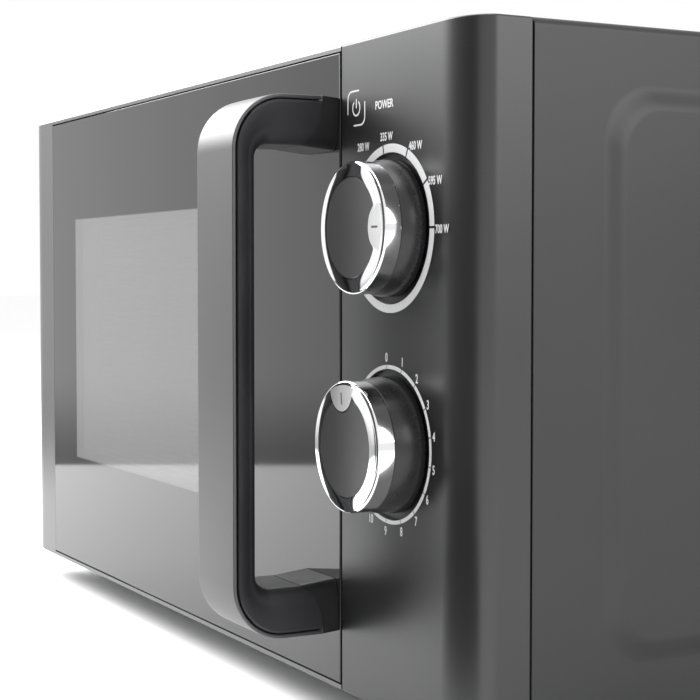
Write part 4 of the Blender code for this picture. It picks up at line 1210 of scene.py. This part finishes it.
@dataclass
class Handle:
    """The strap handle: a soft black core, a satin strip over it, and two black boots."""

    right: float = 0.1416
    width: float = 0.0320
    centre: float = 0.1382
    height: float = 0.2015
    reach: float = 0.0445
    cover: float = 0.0016
    groove: float = 0.0004
    bend: float = 0.021
    grip: float = 0.0340
    inner_bend: float = 0.0055
    leg: float = 0.0165
    leg_end: float = 0.0078
    leg_slant: float = 0.0075

    def line(self, face: float, low: float, high: float, radius: float) -> list[Pair]:
        """Returns a U in the YZ plane, from the end of its lower leg to the end of its upper one.

        Args:
            face: the Y of its grip.
            low: the Z of its lower leg.
            high: the Z of its upper leg.
            radius: the radius of both bends.

        Returns:
            The (Y, Z) points, as many for every U.
        """
        end, middle = FRONT - self.leg_end, face + radius
        leg = [end + (middle - end) * i / 6 for i in range(6)]
        grip = [(face, low + radius + (high - low - 2 * radius) * i / 8) for i in range(1, 8)]
        lower = [(y, low) for y in leg] + arc((middle, low + radius), (radius, radius), 270, 180, 24)
        upper = arc((middle, high - radius), (radius, radius), 180, 90, 24) + [(y, high) for y in leg[::-1]]
        return lower + grip + upper

    def outer_line(self, inset: float) -> list[Pair]:
        """Returns the strip's outer U, or one that lies inside it."""
        half = self.height / 2 - inset
        face = FRONT - self.reach + inset
        return self.line(face, self.centre - half, self.centre + half, self.bend - inset)

    def strip(self) -> None:
        """Builds the satin strip, its front a little crowned and its edges rounded."""
        corner, crown, side = 0.0004, 0.00012, 0.0012
        x0, x1 = self.right - self.width, self.right
        rings = []
        stations = 12
        for front, back in zip(self.outer_line(0.0), self.outer_line(self.cover)):
            section = []
            for i in range(stations + 1):
                share = i / stations
                across = x0 + corner + (x1 - x0 - 2 * corner) * share
                section.append((across, crown * (2 * share - 1) ** 2))
            section += arc((x1 - corner, crown + corner), (corner, corner), -90, 0, 4)[1:]
            section += [(x1, side), (x1 - 0.0003, self.cover), (x0 + 0.0003, self.cover), (x0, side)]
            section += arc((x0 + corner, crown + corner), (corner, corner), 180, 270, 4)[:-1]
            rings.append([(across, *blend(front, back, down / self.cover)) for across, down in section])
        Shape.loft(rings).piece("handle_satin_strip", SATIN, "door", Slot.SILVER, ["handle_cover"])

    def section(self, outer: Pair, inner: Pair, slant: float, shift: float,
                narrow: float = 0.0) -> list[Point]:
        """Returns one section of the core, flat at the strip and round towards the hand.

        Args:
            outer: the (Y, Z) at the strip.
            inner: the (Y, Z) at the hand's side.
            slant: how far the hand's side is pulled forward at a leg's end.
            shift: how far the whole section is moved towards the door.
            narrow: how much narrower than the core it is on each side.

        Returns:
            The closed section.
        """
        middle, half = self.right - self.width / 2, self.width / 2 - narrow
        flat, bow, corner = 0.62, 0.0012, 0.0034
        side = [(half - 0.0005, 0.0), (half, 0.05)]
        side += [(half - bow * (i / 8) ** 2, flat * i / 8) for i in range(1, 9)]
        side += arc((half - bow - corner, flat), (corner, 1 - flat), 0, 90, 10)[1:]
        ring = side + [(-x, down) for x, down in side[::-1]]
        return [(middle + x, outer[0] + (inner[0] - outer[0]) * down - slant * down ** 3 + shift,
                 outer[1] + (inner[1] - outer[1]) * down) for x, down in ring]

    def core(self) -> None:
        """Builds the black core as one skin over its sections."""
        skin = self.cover + self.groove
        half = self.height / 2 - skin - self.leg
        outer = self.outer_line(skin)
        inner = self.line(FRONT - self.grip, self.centre - half, self.centre + half, self.inner_bend)
        rings = []
        for i, (front, back) in enumerate(zip(outer, inner)):
            from_end = min(i, len(outer) - 1 - i)
            slant = self.leg_slant * max(0.0, 1 - from_end / 6)
            rings.append(self.section(front, back, slant, 0.0))
        Shape.loft(rings).piece("handle_core", SOFT_BLACK, "door", Slot.BLACK, ["handle_body"], sharp=50)

    def foot(self, sign: int) -> None:
        """Builds the boot between the door and one leg.

        Args:
            sign: 1 for the upper boot and -1 for the lower.
        """
        outer = self.centre + sign * self.height / 2
        gap, narrow = 0.0004, 0.0004
        touch = FRONT - 0.0004
        rings = []
        for share in (0.0, 0.25, 0.5, 0.75, 1.0):
            front = blend((FRONT - self.leg_end, outer), (touch, outer - sign * 0.0006), share)
            depth = (self.leg + 0.0020) * (1 - share) + (self.leg + 0.0035) * share
            back = (front[0], outer - sign * depth)
            rings.append(self.section(front, back, self.leg_slant * (1 - share), gap * (1 - share), narrow))
        name = "upper" if sign > 0 else "lower"
        Shape.loft(rings).piece(f"handle_{name}_boot", BLACK, "door", Slot.BLACK, [f"handle_foot_{name}"],
                                sharp=50)

    def build(self) -> None:
        """Builds every piece."""
        self.strip()
        self.core()
        self.foot(1)
        self.foot(-1)


@dataclass
class Dial:
    """One dial: a black body, a nearly flat bright bezel with a pointer lobe, and a flat cap."""

    name: str
    height: float
    direction: float
    across: float = 0.178
    reach: float = 0.0185
    front_radius: float = 0.0230
    back_radius: float = 0.0243
    bezel_radius: float = 0.0233
    bezel_height: float = 0.0070
    cap_radius: float = 0.0179
    lobe_radius: float = 0.0082
    lobe_centre: float = 0.0205
    slope: float = 0.0004
    shoulder: float = 0.0011
    points: int = 192

    def opening(self, radius: float, lobe_radius: float) -> list[Pair]:
        """Returns the bezel's inner line: a circle with a round lobe that dips into it.

        Args:
            radius: the circle's radius.
            lobe_radius: the lobe's radius.

        Returns:
            The points, one for each bearing from the dial's centre.
        """
        made = []
        for i in range(self.points):
            angle = math.tau * i / self.points
            reach = radius
            side = self.lobe_centre * math.sin(angle)
            if abs(side) < lobe_radius and math.cos(angle) > 0:
                near = self.lobe_centre * math.cos(angle) - math.sqrt(lobe_radius ** 2 - side ** 2)
                reach = min(radius, near)
            turn = angle + math.radians(self.direction)
            made.append((reach * math.cos(turn), reach * math.sin(turn)))
        return self.evened(made)

    def evened(self, outline: list[Pair]) -> list[Pair]:
        """Spreads the points evenly along the line, so that the lobe is as smooth as the circle."""
        closed = outline + outline[:1]
        lengths = [math.dist(a, b) for a, b in zip(closed, closed[1:])]
        total = sum(lengths)
        made, at, start = [], 0, 0.0
        for i in range(self.points):
            target = total * i / self.points
            while start + lengths[at] < target:
                start += lengths[at]
                at += 1
            share = (target - start) / lengths[at]
            made.append(blend(closed[at], closed[at + 1], share))
        return made

    def bezel(self) -> None:
        """Builds the bezel: a ring with a round shoulder, whose inner line has the lobe."""
        inner = self.opening(self.cap_radius, self.lobe_radius)
        front = FRONT - self.reach
        back = front + self.bezel_height
        outer = []
        for x, z in inner:
            bearing = math.atan2(z, x)
            outer.append((self.bezel_radius * math.cos(bearing), self.bezel_radius * math.sin(bearing)))
        rings = [self.ring(inner, back), self.ring(inner, front + 0.0004)]
        for share in [0.012] + [math.sin(math.pi / 2 * i / 28) for i in range(1, 29)]:
            line = [blend(a, b, share) for a, b in zip(inner, outer)]
            rings.append([(self.across + x, front + self.fall(math.hypot(x, z)), self.height + z)
                          for x, z in line])
        rings.append(self.ring(outer, back))
        Shape.loft(rings + rings[:1], closed=True).piece(
            f"{self.name}_dial_bezel", CHROME, self.body, Slot.CHROME, [f"{self.name}_knob_bezel"], sharp=50)

    def fall(self, radius: float) -> float:
        """Returns how far the bezel's face lies behind the cap's.

        Args:
            radius: the distance from the dial's centre.

        Returns:
            The depth: none at the lobe, a gentle fall outwards, and a round shoulder at the rim.
        """
        rim = self.bezel_radius - self.shoulder
        share = min(1.0, max(0.0, (radius - self.cap_radius) / (rim - self.cap_radius)))
        gentle = self.slope * share ** 1.7
        turned = min(1.0, max(0.0, (radius - rim) / self.shoulder))
        return gentle + self.shoulder * (1 - math.sqrt(1 - turned * turned))

    @property
    def body(self) -> str:
        """Returns the name of the CAD body that the dial turns with."""
        return f"{self.name}_knob"

    def ring(self, outline: Sequence[Pair], depth: float) -> list[Point]:
        """Places an outline on the dial at a depth."""
        return [(self.across + x, depth, self.height + z) for x, z in outline]

    def cap(self) -> None:
        """Builds the flat cap inside the bezel, its rim a little rounded."""
        front = FRONT - self.reach + 0.00005
        back = FRONT - self.reach + self.bezel_height
        outline = self.opening(self.cap_radius - 0.00015, self.lobe_radius + 0.00015)
        rings = [self.ring(outline, back), self.ring(outline, front + 0.0003),
                 self.ring([(x * 0.988, z * 0.988) for x, z in outline], front)]
        Shape.loft(rings).piece(f"{self.name}_dial_cap", CAP, self.body, Slot.CAP, [f"{self.name}_knob_cap"])

    def core(self) -> None:
        """Builds the black body with its rounded shoulders and its shaft."""
        front = -self.reach + self.bezel_height + 0.0003
        profile = [(0.0, 0.0095), (0.0030, 0.0095), (0.0030, 0.0006), (self.back_radius - 0.0004, 0.0006),
                   (self.back_radius, 0.0002), (self.back_radius, -0.0010)]
        bulge, edge = 0.00035, 0.0006
        for i in range(1, 12):
            radius, depth = blend((self.back_radius, -0.0010), (self.front_radius, front + edge), i / 12)
            profile.append((radius + bulge * math.sin(math.pi * i / 12), depth))
        profile += arc((self.front_radius - edge, front + edge), (edge, edge), 0, -90, 4)
        profile.append((0.0, front))
        Shape.turned(profile, (self.across, FRONT, self.height), Axis.Y, 128).piece(
            f"{self.name}_dial_body", KNOB_BLACK, self.body, Slot.BLACK, [f"{self.name}_knob_body"], sharp=40)

    def mark(self) -> None:
        """Builds the dark line on the pointer lobe."""
        start, end, half_wide = 0.0150, 0.0192, 0.00035
        made = Shape.block(start, end, -0.0001, 0.0009, -half_wide, half_wide)
        turn = Matrix.Rotation(-math.radians(self.direction), 4, "Y")
        made.placed(Matrix.Translation((self.across, FRONT - self.reach + 0.00001, self.height)) @ turn)
        made.piece(f"{self.name}_dial_mark", MARK, self.body, Slot.BLACK)

    def pointer(self) -> None:
        """Builds the satin face of the pointer lobe: a round disc cut off where the bezel turns over."""
        radius, limit = self.lobe_radius - 0.0003, self.bezel_radius - self.shoulder - 0.0004
        outline = []
        for i in range(96):
            angle = math.tau * i / 96
            x, z = self.lobe_centre + radius * math.cos(angle), radius * math.sin(angle)
            shrink = min(1.0, limit / math.hypot(x, z))
            outline.append((x * shrink, z * shrink))
        turn = math.radians(self.direction)
        turned = [(x * math.cos(turn) - z * math.sin(turn), x * math.sin(turn) + z * math.cos(turn))
                  for x, z in outline]
        front = FRONT - self.reach
        Shape.loft([self.ring(turned, front + 0.0012), self.ring(turned, front - 0.00004)]).piece(
            f"{self.name}_dial_pointer", LOBE, self.body, Slot.CHROME)

    def build(self) -> None:
        """Builds every piece."""
        self.core()
        self.bezel()
        self.cap()
        self.pointer()
        self.mark()


@dataclass
class ControlPanel:
    """The moulded control panel with a recess behind each dial, its printing, and the two dials."""

    across: float = 0.178
    power_height: float = 0.1888
    timer_height: float = 0.1120
    depth: float = 0.0235
    recess_radius: float = 0.0268
    recess_depth: float = 0.0014
    wall: float = 0.0025
    power_ring: Pair = (0.0269, 0.0299)
    timer_ring: Pair = (0.0270, 0.0284)
    timer_figures: Pair = (0.0303, 0.0312)
    narrow: float = 0.74
    power_gaps: tuple[float, ...] = (-70.0, -36.5, -9.1, 24.3, 57.4, 90.5)
    power_labels: dict[str, Pair] = field(default_factory=lambda: {
        "280 W": (-0.0189, 0.0301), "335 W": (-0.0023, 0.0327), "460 W": (0.0175, 0.0282),
        "595 W": (0.0303, 0.0156), "700 W": (0.0347, -0.0009)})

    def moulding(self) -> None:
        """Builds the panel."""
        left, rear = SEAM + SLIT, FRONT + self.depth
        low, high = BOTTOM + 0.0003, TOP - 0.0003
        corner = arc((HALF - CORNER[0], FRONT + CORNER[1]), CORNER, 270, 360, 32)
        made = Shape.prism([(left, rear), (left, FRONT)] + corner + [(HALF, rear)], Axis.Z, low, high)
        made.bevelled(0.0008, 3, in_plane(2, low, high))
        inner = arc((HALF - CORNER[0], FRONT + CORNER[1]), (CORNER[0] - self.wall, CORNER[1] - self.wall),
                    270, 360, 8)
        behind = rear + REACH_THROUGH
        hollow = Shape.prism([(left + self.wall, behind), (left + self.wall, FRONT + self.wall)] + inner
                             + [(HALF - self.wall, behind)], Axis.Z, low + self.wall, high - self.wall)
        made.cut(hollow)
        for height in (self.power_height, self.timer_height):
            recess = [(0.0, -REACH_THROUGH), (self.recess_radius + 0.00935, -REACH_THROUGH),
                      (self.recess_radius + 0.0002, 0.0), (self.recess_radius, 0.0002),
                      (self.recess_radius, self.recess_depth), (0.0, self.recess_depth)]
            bore = (self.across, FRONT - REACH_THROUGH, height)
            made.cut(Shape.turned(recess, (self.across, FRONT, height), Axis.Y, 128),
                     Shape.drum(bore, Axis.Y, 0.0040, 2 * REACH_THROUGH, 24))
        made.piece("control_panel_moulding", GRAPHITE_PANEL, "cabinet", Slot.CONTROL, ["control_fascia"])

    def band(self, height: float, radii: Pair, gaps: Sequence[float], gap: float) -> Shape:
        """Builds a printed ring with breaks in it.

        Args:
            height: the Z of its centre.
            radii: its inner and outer radius.
            gaps: the clock angles of the breaks, in degrees.
            gap: the width of each break, in metres.

        Returns:
            The ring's segments.
        """
        made = Shape()
        inner, outer = radii
        half = math.degrees(gap / (inner + outer))
        ordered = sorted(angle % 360 for angle in gaps)
        for start, end in zip(ordered, ordered[1:] + [ordered[0] + 360]):
            first, last = start + half, end - half
            steps = max(2, int((last - first) / 3))
            turns = [math.radians(first + (last - first) * i / steps) for i in range(steps + 1)]
            made.joined(printed([(self.across + radius * math.sin(a), height + radius * math.cos(a))
                                 for radius, way in ((outer, 1), (inner, -1)) for a in turns[::way]]))
        return made

    def figures(self, height: float, labels: dict[str, Pair], size: float) -> Shape:
        """Sets figures round a dial.

        Args:
            height: the Z of the dial's centre.
            labels: where the middle of each figure lies from the dial's centre.
            size: the figures' height.

        Returns:
            The printing.
        """
        made = Shape()
        for text, (across, up) in labels.items():
            made.joined(lettering(text, (self.across + across, height + up), size, self.narrow))
        return made

    def printing(self) -> None:
        """Builds both scales and the power sign."""
        angles = self.timer_angles()
        breaks = list(angles.values())
        wide, tall = self.timer_figures
        labels = {text: (wide * math.sin(math.radians(angle)), tall * math.cos(math.radians(angle)))
                  for text, angle in angles.items()}
        for name, print_made in (
                ("power_scale_ring", self.band(self.power_height, self.power_ring, self.power_gaps, 0.0008)),
                ("power_scale_figures", self.figures(self.power_height, self.power_labels, 0.0029)),
                ("timer_scale_ring", self.band(self.timer_height, self.timer_ring, breaks, 0.0004)),
                ("timer_scale_figures", self.figures(self.timer_height, labels, 0.0031))):
            print_made.piece(name, INK, "cabinet", Slot.WHITE)
        self.sign()

    def timer_angles(self) -> dict[str, float]:
        """Returns the clock angle of each figure of the timer's scale."""
        minutes = {str(i): -4.0 + 21.0 * i for i in range(11)}
        minutes.update({"15": 227.0, "20": 248.0, "25": 269.0, "30": 290.0})
        return minutes

    def sign(self) -> None:
        """Builds the power sign: two rounded brackets round a broken ring, with a word beside it."""
        x0, x1, z0, z1 = 0.1472, 0.1604, 0.2268, 0.2400
        thick, radius, opening = 0.0006, 0.0032, 0.0046
        ring_outer, ring_inner, stroke = 0.0030, 0.0024, 0.0034
        through = (FRONT - REACH_THROUGH, FRONT + REACH_THROUGH)
        made = Shape()
        frame = printed(rounded(x0, x1, z0, z1, radius))
        inside = rounded(x0 + thick, x1 - thick, z0 + thick, z1 - thick, radius - thick)
        frame.cut(Shape.prism(inside, Axis.Y, *through),
                  Shape.block(x0 - 0.01, x0 + opening, *through, z0 - 0.01, z0 + opening),
                  Shape.block(x1 - opening, x1 + 0.01, *through, z1 - opening, z1 + 0.01))
        made.joined(frame)
        x, z = (x0 + x1) / 2, (z0 + z1) / 2
        ring = printed(arc((x, z), (ring_outer, ring_outer), 125, 415, 32)
                       + arc((x, z), (ring_inner, ring_inner), 415, 125, 32))
        line = Shape.block(x - thick / 2, x + thick / 2, FRONT - INK_THICK, FRONT + 0.00001, z, z + stroke)
        made.joined(ring, line, lettering("POWER", (0.1741, 0.2331), 0.0029, 0.88))
        made.piece("power_sign", INK, "cabinet", Slot.WHITE)

    def build(self) -> None:
        """Builds every piece."""
        self.moulding()
        self.printing()
        Dial("power", self.power_height, 0.0, reach=0.0160).build()
        Dial("timer", self.timer_height, 96.0).build()


@dataclass
class Turntable:
    """The glass tray; the roller ring and its rollers stay as their CAD nodes."""

    centre: Pair = (-0.0525, 0.0248)
    radius: float = 0.1225
    underside: float = 0.0523

    def build(self) -> None:
        """Builds the pressed glass tray with its rounded rim."""
        r, z = self.radius, self.underside
        profile = [(0, z), (0.086, z), (r - 0.022, z), (r - 0.0135, z + 0.0008), (r - 0.0070, z + 0.0042),
                   (r - 0.0020, z + 0.0100)]
        profile += arc((r - 0.0012, z + 0.0118), (0.0012, 0.0012), -30, 150, 8)
        profile += [(r - 0.0062, z + 0.0095), (r - 0.0115, z + 0.0062), (r - 0.0165, z + 0.0048),
                    (r - 0.022, z + 0.0045), (0, z + 0.0045)]
        tray = Shape.turned(profile, (*self.centre, 0), Axis.Z, 128)
        tray.piece("glass_tray", TRAY_GLASS, "turntable", Slot.GLASS, ["turntable_tray"], sharp=50)


@dataclass
class PartsBay:
    """The small parts in the bay beside the cavity: two leads, thermal cut-out, mains filter and diode."""

    lead: float = 0.0011
    board: tuple[float, float, float, float] = (0.116, 0.170, 0.100, 0.148)
    board_z: Pair = (0.0240, 0.0256)
    base: float = 0.0160
    diode_place: Pair = (0.160, -0.0055)

    def wire(self, name: str, finish: Finish, points: Sequence[Point]) -> None:
        """Builds an insulated lead along a smooth line.

        Args:
            name: the piece's name.
            finish: the insulation's finish.
            points: the points that it passes.
        """
        curve = bpy.data.curves.new(name, "CURVE")
        curve.dimensions = "3D"
        curve.bevel_depth = self.lead
        curve.bevel_resolution = 3
        curve.resolution_u = 10
        spline = curve.splines.new("BEZIER")
        spline.bezier_points.add(len(points) - 1)
        for point, place in zip(spline.bezier_points, points):
            point.co = place
            point.handle_left_type = point.handle_right_type = "AUTO"
        dressed(curve_mesh(curve), name, finish, "cabinet", sharp=60)

    def build(self) -> None:
        """Builds every piece."""
        self.wire("magnetron_lead", RED_LEAD, [(0.219, 0.0150, 0.1700), (0.2245, 0.0150, 0.150),
                                               (0.222, 0.030, 0.115), (0.205, 0.040, 0.095)])
        self.wire("switch_lead", BLUE_LEAD, [(0.130, FRONT + 0.0662, 0.092), (0.130, FRONT + 0.078, 0.094),
                                             (0.142, FRONT + 0.085, 0.120), (0.158, FRONT + 0.060, 0.136)])
        thermal = Shape.drum((0.1012, -0.030, 0.215), Axis.X, 0.0080, 0.0012, 32).joined(
            Shape.drum((0.1022, -0.030, 0.215), Axis.X, 0.0062, 0.0080, 32))
        thermal.piece("thermal_cutout", NYLON, "cabinet", Slot.WHITE)
        self.filter()
        self.diode()

    def filter(self) -> None:
        """Builds the mains filter: a small board on four posts, with its choke, capacitor and fuse."""
        left, right, near, far = self.board
        level, top = self.board_z
        board = Shape.block(*self.board, level, top)
        for x in (left + 0.004, right - 0.004):
            for y in (near + 0.004, far - 0.004):
                board.joined(Shape.drum((x, y, self.base), Axis.Z, 0.0022, level - self.base, 16))
        board.piece("filter_board", BOARD, "cabinet", Slot.WHITE)
        block = Shape.block(left + 0.006, left + 0.024, near + 0.008, near + 0.018, top, top + 0.015)
        block.bevelled(0.0008, 2, lambda edge: edge.is_manifold)
        block.joined(Shape.drum((left + 0.008, far - 0.010, top + 0.0035), Axis.X, 0.0030, 0.022, 20))
        block.piece("filter_capacitor_and_fuse", NYLON, "cabinet", Slot.WHITE)
        choke = Shape.turned([(0.0040, top), (0.0095, top), (0.0100, top + 0.0005), (0.0100, top + 0.0085),
                              (0.0095, top + 0.0090), (0.0040, top + 0.0090)],
                             (right - 0.015, near + 0.024, 0.0), Axis.Z, 48)
        choke.piece("filter_choke", WINDINGS, "cabinet", Slot.COPPER)

    def diode(self) -> None:
        """Builds the high-voltage diode, standing on its earth lead beside the capacitor."""
        body = Shape.drum((*self.diode_place, 0.0300), Axis.Z, 0.0036, 0.0160, 24)
        for low, length in ((self.base, 0.0145), (0.0455, 0.0080)):
            body.joined(Shape.drum((*self.diode_place, low), Axis.Z, 0.0006, length, 12))
        body.piece("high_voltage_diode", BLACK, "cabinet", Slot.BLACK)


NODE_FINISHES: dict[Finish, str] = {
    GRAPHITE_STEEL: "rear_panel front_plate",
    ZINC: "base_plate hinge_lower hinge_upper waveguide capacitor_strap lamp_holder turntable_motor",
    BLACK: "cord_gland door_choke_cover upper_switch lower_switch fan_duct",
    ENAMEL: "cavity_left_wall cavity_right_wall cavity_floor cavity_ceiling cavity_back",
    PANE: "door_inner_pane",
    NYLON: "latch_slide timer_unit power_unit interlock_bracket upper_switch_plunger lower_switch_plunger "
           "fan_wheel tray_coupler roller_ring roller_1 roller_2 roller_3",
    MICA: "waveguide_cover",
    ALUMINIUM: "magnetron capacitor",
    LAMINATED: "transformer_core fan_motor",
    WINDINGS: "transformer_coils",
    BULB: "lamp_bulb"}


def dress_nodes(nodes: dict[str, bpy.types.Object]) -> None:
    """Gives the CAD nodes that stay as they are their finishes.

    Args:
        nodes: the CAD nodes by name.
    """
    finishes = {name: finish for finish, names in NODE_FINISHES.items() for name in names.split()}
    for name, node in sorted(nodes.items()):
        if node.hide_render:
            continue
        finish = finishes[name]
        node.data.materials.clear()
        node.data.materials.append(finish.material())
        LOG.info("CAD node %s: %s", name, finish.name)


@dataclass
class Studio:
    """The camera, the floor, the soft lights and the cards that show in reflections."""

    eye: Point = (0.6729, -0.43725, 0.1727)
    yaw: float = 62.31
    pitch: float = 2.37
    roll: float = -0.06
    lens: float = 83.0
    shift: Pair = (0.0496, -0.0130)
    floor_half: float = 12.0

    def camera(self) -> None:
        """Makes the camera."""
        data = bpy.data.cameras.new("camera")
        data.sensor_width = 36.0
        data.lens = self.lens
        data.shift_x, data.shift_y = self.shift
        data.clip_start, data.clip_end = 0.01, 60.0
        made = linked("camera", data)
        turn = (Matrix.Rotation(math.radians(self.yaw), 4, "Z")
                @ Matrix.Rotation(math.radians(90 - self.pitch), 4, "X")
                @ Matrix.Rotation(math.radians(self.roll), 4, "Z"))
        made.matrix_world = Matrix.Translation(self.eye) @ turn
        bpy.context.scene.camera = made

    def floor(self) -> None:
        """Makes the floor."""
        half = self.floor_half
        self.staged(Shape.block(-half, half, -half, half, -0.02, 0.0), "studio_floor", FLOOR)

    def staged(self, shape: Shape, name: str, finish: Finish) -> bpy.types.Object:
        """Makes a shape a part of the studio and returns it."""
        mesh = shape.mesh(name)
        mesh.materials.append(finish.material())
        made = linked(name, mesh)
        return made

    def card(self, name: str, start: Pair, end: Pair, high: float, levels: Pair, rise: float) -> None:
        """Stands a card on the floor that only reflections see.

        Args:
            name: the card's name.
            start: the X and Y of one end.
            end: the X and Y of the other end.
            high: its upper edge.
            levels: how bright it is at the bottom and at the top.
            rise: the height where it reaches the upper level.
        """
        way = Vector((end[0] - start[0], end[1] - start[1], 0.0))
        length = way.length
        made = Shape.block(0.0, length, -0.002, 0.002, 0.0, high)
        made.placed(Matrix.Translation((*start, 0.0)) @ Matrix.Rotation(math.atan2(way.y, way.x), 4, "Z"))
        card = self.staged(made, name, Card(f"{name}_face", (1.0, 1.0, 1.0), 1.0, 0.0, *levels, rise))
        card.visible_camera = False
        card.visible_diffuse = False
        card.visible_shadow = False
        card.visible_transmission = False

    def light(self, name: str, place: Point, aim: Point, size: Pair, power: float) -> None:
        """Hangs a soft box.

        Args:
            name: the light's name.
            place: its middle.
            aim: the point that it faces.
            size: its width and height.
            power: its power in watts.
        """
        data = bpy.data.lights.new(name, "AREA")
        data.shape = "RECTANGLE"
        data.size, data.size_y = size
        data.energy = power
        made = linked(name, data)
        made.location = place
        made.rotation_euler = (Vector(aim) - Vector(place)).to_track_quat("-Z", "Y").to_euler()
        made.visible_camera = False

    def world(self) -> None:
        """Lights the surroundings evenly."""
        made = bpy.data.worlds.new("studio")
        made.use_nodes = True
        background = made.node_tree.nodes["Background"]
        background.inputs["Color"].default_value = (1.0, 1.0, 1.0, 1.0)
        background.inputs["Strength"].default_value = 1.0
        bpy.context.scene.world = made

    def build(self) -> None:
        """Builds the studio."""
        self.camera()
        self.world()
        self.floor()
        self.card("left_card", (-0.854, -0.107), (-0.409, -0.901), 0.42, (0.50, 1.15), 0.09)
        self.card("front_card", (-0.08, -0.45), (0.36, -0.45), 1.2, (0.10, 0.10), 1.0)
        self.card("low_card", (0.08, -0.26), (0.30, -0.26), 0.06, (0.10, 0.10), 1.0)
        self.light("overhead_box", (-0.3, -0.4, 1.5), (0.0, 0.0, 0.1), (1.8, 1.8), 35.0)
        self.light("left_box", (-1.05, -0.75, 1.0), (0.15, -0.15, 0.15), (1.6, 1.0), 40.0)
        self.light("right_box", (1.30, 0.45, 0.60), (0.2, 0.0, 0.15), (0.9, 0.55), 4.6)
        bpy.context.scene.view_settings.view_transform = "Standard"


def main() -> None:
    """Builds the oven's looks around its frame."""
    logging.basicConfig(level=logging.INFO, format="%(name)s: %(message)s")
    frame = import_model()
    Studio().build()
    for assembly in (Cabinet(), Door(), Handle(), ControlPanel(), Turntable(), PartsBay()):
        LOG.info("building %s", type(assembly).__name__)
        assembly.build()
    dress_nodes(frame["nodes"])


if __name__ == "__main__":
    main()
